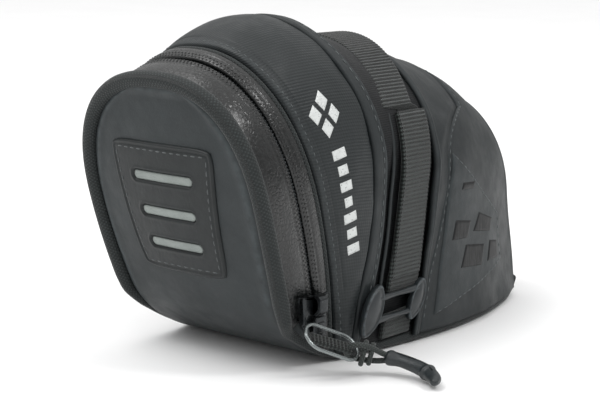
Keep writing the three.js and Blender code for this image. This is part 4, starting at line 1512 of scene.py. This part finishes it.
def build_post_strap():
    """The hook and loop strap for the seatpost, sewn down with crossed rows."""
    for name, body, reach, start, raised, half, node in POST_STRAPS:
        x = np.linspace(-reach, reach, 60) + start
        z = np.full(60, POST_STRAP_Z)
        line = np.stack([x, lean(TIP, z) + raised, z], 1)
        strap, _ = webbing(name, line, (0, -0.164, 0.986), half, 1.1)
        finish_piece(strap, body, "webbing", node)
    rows = []
    for k, (a, b) in enumerate(zip(POST_SEAM, POST_SEAM[1:])):
        t = np.linspace(0, 1, 30)[:, None]
        flat = np.array(a) * (1 - t) + np.array(b) * t
        spot = np.stack([-flat[:, 0], lean(TIP, flat[:, 1]) + 5.0, flat[:, 1]], 1)
        rows.append(stitches(f"post_row_{k}", spot, np.tile([0.0, 1.0, 0.16], (30, 1)),
                             finish("thread")))
    finish_piece(join("post_strap_stitches", rows), "root", "webbing")


# ---------------------------------------------------------------- print on the body band
MARK = ((-1.6, 88.3), 7.4)
BAR_COLUMN = ((1.4, 77.5), (9.6, 38.0))
BAR_LENGTHS = (1.0, 0.7, 0.85, 0.6, 1.0, 0.75, 0.9)


def build_print(band_skin):
    """A generic mark of four lozenges and a column of plain bars."""
    for side, word in ((1, "right"), (-1, "left")):
        surface = Surface(band_skin, (-side, 0, 0))
        parts = []
        (y0, z0), size = MARK
        for k, (dy, dz) in enumerate(((0, 1), (1, 0), (0, -1), (-1, 0))):
            y, z, r = y0 + dy * size * 0.56, z0 + dz * size * 0.62, size * 0.46
            corners = [(y, z - r), (y + r * 0.8, z), (y, z + r), (y - r * 0.8, z)]
            parts.append(raised_plate(f"{word}_mark_{k}", surface, corners, 0.03, 0.07, 0.6, "print",
                                      0.2)[0])
        start, end = np.array(BAR_COLUMN[0]), np.array(BAR_COLUMN[1])
        along = (end - start) / np.linalg.norm(end - start)
        across = np.array([-along[1], along[0]])
        pitch = np.linalg.norm(end - start) / len(BAR_LENGTHS)
        for k, share in enumerate(BAR_LENGTHS):
            middle = start + along * pitch * (k + 0.5)
            a, b = along * pitch * 0.30, across * 3.1 * share
            corners = [middle - a - b, middle - a + b, middle + a + b, middle + a - b]
            parts.append(raised_plate(f"{word}_print_bar_{k}", surface, corners, 0.03, 0.07, 0.6,
                                      "print", 0.2)[0])
        finish_piece(join(f"{word}_print", parts), "root", "reflective_film")


# ---------------------------------------------------------------- inside
def build_lining():
    """Lining of the compartment and of the lid."""
    grid = np.concatenate([loft(BODY_BAND, EDGE_HEIGHT, 121, 17, 2.6)[:-1],
                           loft(RECESS_BAND, EDGE_HEIGHT, 121, 9, 5.6)[1:-1],
                           loft(NOSE_BAND, EDGE_HEIGHT, 121, 33, 3.2)[1:-2]])
    lining, _ = cloth_sheet("compartment_lining", grid, ripple(grid, 8, 0.2), finish("lining"), 0.5)
    finish_piece(lining, "root", "lining")
    arch = outline(inset(RIM, 7.0), LID_FOOT + 3, 161)[:80]
    span = np.linspace(-1, 1, 41)
    back = np.empty((80, 41, 3))
    back[..., 0] = arch[:, 0, None] * span
    back[..., 1] = arch[:, 1, None] + 4.6 - face_bulge(arch[:, 2, None]) * (1 - span ** 2)
    back[..., 2] = arch[:, 2, None]
    lining, _ = cloth_sheet("lid_lining", back, ripple(back, 8, 0.15), finish("lining"), 0.5)
    finish_piece(lining, "lid", "lining")


# ---------------------------------------------------------------- slider, ring and puller
SLIDER_X, SLIDER_Y, SLIDER_Z = 39.4, -11.2, 21.0


def moulded(name, outline_points, low, high, bevel, kind, axis="x", smooth_rounds=0):
    """A block with an outline in (y, z) or (x, z), cast between two depths, with round edges."""
    flat = np.array(outline_points, float)
    closed = np.concatenate([flat, flat[:1]])
    flat = resample(closed, 97)[:-1]
    for _ in range(smooth_rounds):
        flat = (np.roll(flat, 1, 0) + 2 * flat + np.roll(flat, -1, 0)) / 4
    edge = np.roll(flat, -1, 0) - np.roll(flat, 1, 0)
    edge /= np.linalg.norm(edge, axis=1, keepdims=True).clip(1e-9)
    inward = np.stack([-edge[:, 1], edge[:, 0]], 1)
    if np.sum(inward * (flat.mean(0) - flat)) < 0:
        inward = -inward
    turn = np.linspace(0, np.pi / 2, 5)
    sunk = bevel * (1 - np.sin(turn))
    risen = bevel * (1 - np.cos(turn))
    depths = np.concatenate([low + risen, high - risen[::-1]])
    rings = []
    for depth, by in zip(depths, np.concatenate([sunk, sunk[::-1]])):
        ring = flat + inward * by
        level = np.full(len(flat), depth)
        rings.append(np.stack([level, ring[:, 0], ring[:, 1]] if axis == "x" else
                              [ring[:, 0], level, ring[:, 1]], 1))
    piece = new_object(name, np.concatenate(rings), tube_faces(len(rings), len(flat)), finish(kind))
    piece.data.set_sharp_from_angle(angle=math.radians(50))
    correct_normals(piece)
    return piece


def correct_normals(piece):
    """Turns a closed mesh's faces outwards."""
    bpy.context.view_layer.objects.active = piece
    bpy.ops.object.select_all(action="DESELECT")
    piece.select_set(True)
    bpy.ops.object.mode_set(mode="EDIT")
    bpy.ops.mesh.select_all(action="SELECT")
    bpy.ops.mesh.normals_make_consistent(inside=False)
    bpy.ops.object.mode_set(mode="OBJECT")


def build_slider():
    """The zip's slider: two winged plates, a middle rib and two side flanges."""
    x, y, z = SLIDER_X, SLIDER_Y, SLIDER_Z
    half = [(6.6, 7.2), (6.2, 2.0), (5.2, -2.4), (2.7, -7.0)]
    top = [(2.6, 6.2), (0.0, 7.0), (-2.6, 6.2)]
    wings = [(y - dy, z + dz) for dy, dz in half]
    wings += [(y + dy, z + dz) for dy, dz in half[::-1] + top]
    under = [(y + (p[0] - y) * 0.94, z + (p[1] - z) * 0.94) for p in wings]
    parts = [moulded("slider_under", under, x - 0.2, x + 0.9, 0.3, "metal", smooth_rounds=2),
             moulded("slider_top", wings, x + 1.8, x + 3.2, 0.5, "metal", smooth_rounds=2)]
    rib = [(y - 1.3, z - 5), (y + 1.3, z - 5), (y + 1.7, z + 5.5), (y - 1.7, z + 5.5)]
    parts.append(moulded("slider_rib", rib, x + 0.7, x + 2.2, 0.2, "metal"))
    for k, sign in enumerate((-1, 1)):
        flange = [(y + sign * 5.0, z - 3), (y + sign * 5.7, z - 2.6), (y + sign * 6.4, z + 4.5),
                  (y + sign * 5.4, z + 4.5)]
        parts.append(moulded(f"slider_flange_{k}", flange, x + 0.9, x + 3.0, 0.25, "metal"))
    finish_piece(join("slider_body", parts), "slider", "black_metal", "zip_slider")
    build_crown(x, y, z)
    build_tab(y)


def build_crown(x, y, z):
    """The bridge on the slider that the tab hangs in."""
    side = [(x + 3.3, z + 0.0), (x + 4.9, z + 0.1), (x + 7.0, z + 1.7), (x + 7.1, z + 6.2),
            (x + 6.0, z + 7.2), (x + 3.3, z + 7.3), (x + 3.3, z + 5.9), (x + 5.2, z + 5.5),
            (x + 5.3, z + 2.6), (x + 3.3, z + 1.8)]
    crown = moulded("crown", side, y - 2.0, y + 2.0, 0.4, "metal", axis="y", smooth_rounds=1)
    finish_piece(crown, "slider", "black_metal", "slider_crown")


def build_tab(y):
    """The slider's pull tab, with a raised ridge."""
    tab = [(y - 2.3, 20.8), (y + 2.3, 20.8), (y + 2.9, 19.6), (y + 2.9, 14.4), (y + 2.3, 13.7),
           (y - 2.3, 13.7), (y - 2.9, 14.4), (y - 2.9, 19.6)]
    parts = [moulded("tab_plate", tab, 43.5, 44.9, 0.35, "metal", smooth_rounds=1)]
    ridge = [(y - 1.6, 19.0), (y + 1.6, 19.0), (y + 1.6, 15.4), (y - 1.6, 15.4)]
    parts.append(moulded("tab_ridge", ridge, 44.7, 45.3, 0.25, "metal", smooth_rounds=1))
    finish_piece(join("tab", parts), "pull_tab", "black_metal", "pull_tab")


RING_LENGTH, RING_WIDTH, WIRE = 22.8, 11.8, 0.62
RING_TILT = math.pi * 0.22
RING_START = np.array([48.1, -19.6, 16.7])
RING_END = np.array([53.7, -5.9, 10.0])


def ring_axes():
    """The ring's middle and its directions along, across and out of its plane."""
    along = (RING_END - RING_START) / np.linalg.norm(RING_END - RING_START)
    across = np.cross([0, 0, 1], along)
    across /= np.linalg.norm(across)
    across = math.cos(RING_TILT) * across + math.sin(RING_TILT) * np.cross(along, across)
    return (RING_START + RING_END) / 2, along, across, np.cross(along, across)


def build_ring():
    """The bright wire ring, closed with a butt joint."""
    middle, along, across, _ = ring_axes()
    radius = RING_WIDTH / 2 - WIRE
    straight = RING_LENGTH / 2 - RING_WIDTH / 2
    turn = np.linspace(-np.pi / 2, np.pi / 2, 40)
    end = np.stack([straight + radius * np.cos(turn), radius * np.sin(turn)], 1)
    flat = np.concatenate([end, -end])
    flat = resample(np.concatenate([flat, flat[:1]]), 181)[:-1]
    line = middle + flat[:, :1] * along + flat[:, 1:] * across
    ring = pipe("wire_loop", line, WIRE, finish("wire"), 14, closed=True)
    finish_piece(ring, "ring", "ring_wire", "wire_ring")
    build_tongue(middle, along, across)


def build_tongue(middle, along, across):
    """A ribbed cloth tongue along the ring's inside."""
    _, _, _, up = ring_axes()
    s = np.linspace(-RING_LENGTH / 2 + 3.4, RING_LENGTH / 2 - 3.0, 60)
    line = middle + s[:, None] * along + (0.5 * np.sin(s / 5))[:, None] * up
    tongue, _ = webbing("ring_tongue", line, across, 2.1, 1.0)
    finish_piece(tongue, "ring", "webbing")


CORD_ROUTE = [[61.2, 4.9, 5.3], [58.7, 3.2, 4.9], [56.2, 1.5, 4.9], [54, -0.6, 5.3], [52, -4.1, 6.5],
              [51.9, -6.2, 8.3], [53.3, -6.9, 10.5], [55.5, -5.9, 11.8], [57.2, -3.7, 11.5],
              [58.4, -0.9, 10.3], [59.4, 1.2, 9], [60.4, 2.6, 8], [61.4, 3.6, 7.4]]
CORD_RADIUS = 1.0
GRIP_ROUTE = [[62.1, 4.7, 6.3], [66.5, 6.2, 5.5], [72, 7, 4.5], [77.5, 6, 3.6], [81.8, 3.4, 3.1],
              [84.3, 0.2, 2.95]]
GRIP_MOUTH = [[61.4, 4.45, 6.42], [61.9, 4.62, 6.33], [62.4, 4.8, 6.25]]
GRIP_STEPS = 18


def curved(points, per_stretch):
    """A smooth line through a list of points."""
    p = np.array(points, float)
    p = np.concatenate([[2 * p[0] - p[1]], p, [2 * p[-1] - p[-2]]])
    line = []
    for i in range(1, len(p) - 2):
        for t in np.arange(per_stretch) / per_stretch:
            a, b, c, d = p[i - 1:i + 3]
            line.append(0.5 * (2 * b + (c - a) * t + (2 * a - 5 * b + 4 * c - d) * t ** 2
                               + (3 * b - a - 3 * c + d) * t ** 3))
    line.append(p[-2])
    return np.array(line)


def build_cord():
    """The puller's cord: out of the grip, round the ring and back into the grip."""
    line = curved(CORD_ROUTE, 8)
    rope = pipe("puller_loop", line, CORD_RADIUS, finish("cord"), 14)
    finish_piece(rope, "puller", "cord", "puller_cord")
    path = to_world(line)
    build_knot()


# Each wrap of the hitch: its middle, its half-width and its half-height.
HITCH_WRAPS = (((55.6, -1.6, 8.1), 1.9, 3.9), ((57.2, 0.5, 7.6), 1.7, 3.3))
HITCH_ALONG = np.array([0.60, 0.76, -0.25])
HITCH_RADIUS = 0.9


def build_knot():
    """The cord's wraps where it is hitched round the ring."""
    turn = np.linspace(0, 2 * np.pi, 60)[:-1, None]
    across = np.cross([0, 0, 1], HITCH_ALONG)
    across /= np.linalg.norm(across)
    up = np.cross(HITCH_ALONG, across)
    parts = []
    for k, (middle, wide, tall) in enumerate(HITCH_WRAPS):
        line = np.array(middle) + wide * np.cos(turn) * across + tall * np.sin(turn) * up
        line = line + 0.5 * np.cos(turn) * HITCH_ALONG
        parts.append(pipe(f"hitch_{k}", line, HITCH_RADIUS, finish("cord"), 12, closed=True))
    finish_piece(join("cord_hitch", parts), "puller", "cord")


def build_grip():
    """The moulded grip: a mouth shown by a near-black plug of painted shade, a collar, a waist and a
    flattened curved tip.
    """
    line = curved(GRIP_ROUTE, GRIP_STEPS)
    share = lengths(line) / lengths(line)[-1]
    radius = 2.35 + 0.75 * np.exp(-(share / 0.10) ** 2) + 0.45 * np.sin(np.pi * share) ** 2
    radius += 0.55 * np.exp(-((share - 0.62) / 0.035) ** 2)
    radius *= 1 - 0.42 * np.clip((share - 0.80) / 0.2, 0, 1) ** 2
    grip = pipe("grip", line, radius, finish("grip"), sides=28, flatten=0.86)
    mark_wear_and_highlight(grip, np.full(len(grip.data.vertices), 0.25))
    # A near-black plug in the grip's end, painted shade where the mouth opens.
    mouth_shade = pipe("grip_mouth_shade", np.array(GRIP_MOUTH), [2.0, 2.3, 2.2], finish("gloss"), sides=28,
                 flatten=0.86)
    seam = line[8:66] + [0, 0, 2.45]
    ridge = pipe("grip_seam", seam, 0.22, finish("grip"), 8)
    finish_piece(join("puller_handle", [grip, mouth_shade, ridge]), "puller", "grip_plastic", "puller_grip")


# ---------------------------------------------------------------- stage
CAMERA_PLACE = (0.40464, -0.49291, 0.16653)
CAMERA_BACK = Vector((0.6472, -0.7390, 0.1869))
LENS = 101.33
FLOOR_HALF = 6000.0
# Each light: its name, its place and the point it faces in metres, its size in metres, its watts.
LIGHTS = (
    ("key_light", (-0.45, -0.60, 1.35), (0, 0, 0.05), (0.9, 0.9), 11.0),
    ("rim_light", (0.95, 0.15, 1.15), (0, 0, 0.08), (0.15, 0.36), 4.5),
    ("zip_light", (0.75, -0.95, 0.75), (0, -0.05, 0.06), (0.2, 0.4), 0.9),
)
# Strength of the sky a little below the horizon and near the top.
SKY_LOW, SKY_HIGH = 0.26, 1.2


def floor_finish():
    """Smooth pale paper."""
    f = Finish("studio_floor", Specular_IOR_Level=0.2)
    where = f.around()
    f.colour(f.blend(f.noise(where, 60.0), (0.90, 0.90, 0.90, 1), (0.94, 0.94, 0.94, 1)))
    f.roughness(f.between(f.noise(where, 9.0), 0.3, 0.7, 0.6, 0.75))
    f.relief((f.noise(where, 0.8), 0.02))
    return f.material


def build_camera(scene):
    """The camera, a little above the bag's middle and behind its right side."""
    data = bpy.data.cameras.new("camera")
    data.lens = LENS
    data.sensor_width = 36.0
    data.clip_start, data.clip_end = 0.01, 50
    camera = bpy.data.objects.new("camera", data)
    camera.location = CAMERA_PLACE
    camera.rotation_mode = "QUATERNION"
    camera.rotation_quaternion = (-CAMERA_BACK).to_track_quat("-Z", "Y")
    scene.collection.objects.link(camera)
    scene.camera = camera


def build_floor():
    """A wide pale floor."""
    edge = np.linspace(-FLOOR_HALF, FLOOR_HALF, 9)
    x, y = np.meshgrid(edge, edge, indexing="xy")
    points = np.stack([x, y, 0 * x], 2).reshape(-1, 3)
    floor = new_object("studio_floor", points, grid_faces(9, 9).tolist(), floor_finish())


def area_light(name, place, aim, size, power):
    """A white rectangular light turned towards a point."""
    data = bpy.data.lights.new(name, "AREA")
    data.shape = "RECTANGLE"
    data.size, data.size_y = size
    data.energy = power
    light = bpy.data.objects.new(name, data)
    light.location = place
    light.rotation_mode = "QUATERNION"
    light.rotation_quaternion = (Vector(aim) - Vector(place)).to_track_quat("-Z", "Y")
    bpy.context.scene.collection.objects.link(light)


def build_world():
    """A soft studio: bright overhead and dimmer at the horizon."""
    world = bpy.data.worlds.new("studio")
    bpy.context.scene.world = world
    world.use_nodes = True
    tree = world.node_tree
    background = tree.nodes["Background"]
    place = tree.nodes.new("ShaderNodeTexCoord")
    split = tree.nodes.new("ShaderNodeSeparateXYZ")
    ramp = tree.nodes.new("ShaderNodeMapRange")
    ramp.inputs["From Min"].default_value = -0.1
    ramp.inputs["From Max"].default_value = 0.9
    ramp.inputs["To Min"].default_value = SKY_LOW
    ramp.inputs["To Max"].default_value = SKY_HIGH
    tree.links.new(place.outputs["Generated"], split.inputs[0])
    tree.links.new(split.outputs["Z"], ramp.inputs["Value"])
    tree.links.new(ramp.outputs[0], background.inputs["Strength"])
    background.inputs["Color"].default_value = (1.0, 1.0, 1.0, 1.0)


# ---------------------------------------------------------------- operators
class SADDLEBAG_OT_stage(Operator):
    """Add the camera, the floor and the studio light"""

    bl_idname = "saddle_bag.stage"
    bl_label = "Stage"
    bl_options = {"REGISTER", "UNDO"}

    def execute(self, context):
        build_camera(context.scene)
        context.scene.view_settings.view_transform = "Standard"
        build_floor()
        build_world()
        for light in LIGHTS:
            area_light(*light)
        return {"FINISHED"}


class SADDLEBAG_OT_cord(Operator):
    """Add the puller's cord and its hitch"""

    bl_idname = "saddle_bag.cord"
    bl_label = "Puller cord"
    bl_options = {"REGISTER", "UNDO"}

    def execute(self, context):
        build_cord()
        return {"FINISHED"}


class SADDLEBAG_OT_skin(Operator):
    """Add the coated skin of the base and lid, and the stiffening boards"""

    bl_idname = "saddle_bag.skin"
    bl_label = "Base and lid skin"
    bl_options = {"REGISTER", "UNDO"}

    def execute(self, context):
        build_skin()
        build_boards()
        return {"FINISHED"}


class SADDLEBAG_OT_piping(Operator):
    """Add the piping round the base, the lid and the nose"""

    bl_idname = "saddle_bag.piping"
    bl_label = "Piping"
    bl_options = {"REGISTER", "UNDO"}

    def execute(self, context):
        build_piping()
        return {"FINISHED"}


class SADDLEBAG_OT_patch(Operator):
    """Add the reflector patch with its bars"""

    bl_idname = "saddle_bag.patch"
    bl_label = "Reflector patch"
    bl_options = {"REGISTER", "UNDO"}

    def execute(self, context):
        build_patch()
        return {"FINISHED"}


class SADDLEBAG_OT_zip(Operator):
    """Add the zip's bands, coils and gussets"""

    bl_idname = "saddle_bag.zip"
    bl_label = "Zip"
    bl_options = {"REGISTER", "UNDO"}

    def execute(self, context):
        build_zip_bands()
        build_gussets()
        return {"FINISHED"}


class SADDLEBAG_OT_body(Operator):
    """Add the ripstop band with its print, hem and channel"""

    bl_idname = "saddle_bag.body"
    bl_label = "Body band"
    bl_options = {"REGISTER", "UNDO"}

    def execute(self, context):
        build_print(build_body_band())
        build_recess()
        return {"FINISHED"}


class SADDLEBAG_OT_straps(Operator):
    """Add the saddle strap, its tails, anchors and buckles"""

    bl_idname = "saddle_bag.straps"
    bl_label = "Straps and buckles"
    bl_options = {"REGISTER", "UNDO"}

    def execute(self, context):
        build_saddle_strap()
        build_tails()
        build_buckles()
        return {"FINISHED"}


class SADDLEBAG_OT_nose(Operator):
    """Add the nose panels, appliques and the seatpost strap"""

    bl_idname = "saddle_bag.nose"
    bl_label = "Nose"
    bl_options = {"REGISTER", "UNDO"}

    def execute(self, context):
        build_appliques(build_nose())
        build_nose_face()
        build_post_strap()
        return {"FINISHED"}


class SADDLEBAG_OT_lining(Operator):
    """Add the lining of the compartment and the lid"""

    bl_idname = "saddle_bag.lining"
    bl_label = "Lining"
    bl_options = {"REGISTER", "UNDO"}

    def execute(self, context):
        build_lining()
        return {"FINISHED"}


class SADDLEBAG_OT_puller(Operator):
    """Add the zip's slider, tab, ring and grip"""

    bl_idname = "saddle_bag.puller"
    bl_label = "Slider and puller"
    bl_options = {"REGISTER", "UNDO"}

    def execute(self, context):
        build_slider()
        build_ring()
        build_grip()
        return {"FINISHED"}


OPERATORS = (SADDLEBAG_OT_stage, SADDLEBAG_OT_cord, SADDLEBAG_OT_skin, SADDLEBAG_OT_piping,
             SADDLEBAG_OT_patch, SADDLEBAG_OT_zip, SADDLEBAG_OT_body, SADDLEBAG_OT_straps,
             SADDLEBAG_OT_nose, SADDLEBAG_OT_lining, SADDLEBAG_OT_puller)


class SADDLEBAG_PT_sidebar(Panel):
    """Lists the saddle bag's pieces, sizes and colours"""

    bl_idname = "SADDLEBAG_PT_sidebar"
    bl_label = "Saddle Bag"
    bl_space_type = "VIEW_3D"
    bl_region_type = "UI"
    bl_category = "Saddle Bag"

    def draw(self, context):
        layout = self.layout
        for operator in OPERATORS:
            layout.operator(operator.bl_idname)
        for group in (context.scene.saddle_bag_sizes, context.scene.saddle_bag_colours):
            box = layout.box()
            for name in group.__annotations__:
                box.prop(group, name)


CLASSES = (SaddleBagSizes, SaddleBagColours, *OPERATORS, SADDLEBAG_PT_sidebar)


def register():
    for cls in CLASSES:
        bpy.utils.register_class(cls)
    bpy.types.Scene.saddle_bag_sizes = PointerProperty(type=SaddleBagSizes)
    bpy.types.Scene.saddle_bag_colours = PointerProperty(type=SaddleBagColours)


def unregister():
    del bpy.types.Scene.saddle_bag_colours
    del bpy.types.Scene.saddle_bag_sizes
    for cls in reversed(CLASSES):
        bpy.utils.unregister_class(cls)


def main():
    """Builds the whole bag."""
    register()
    for operator in OPERATORS:
        category, name = operator.bl_idname.split(".")
        getattr(getattr(bpy.ops, category), name)()
    bpy.context.view_layer.update()


if __name__ == "__main__":
    main()
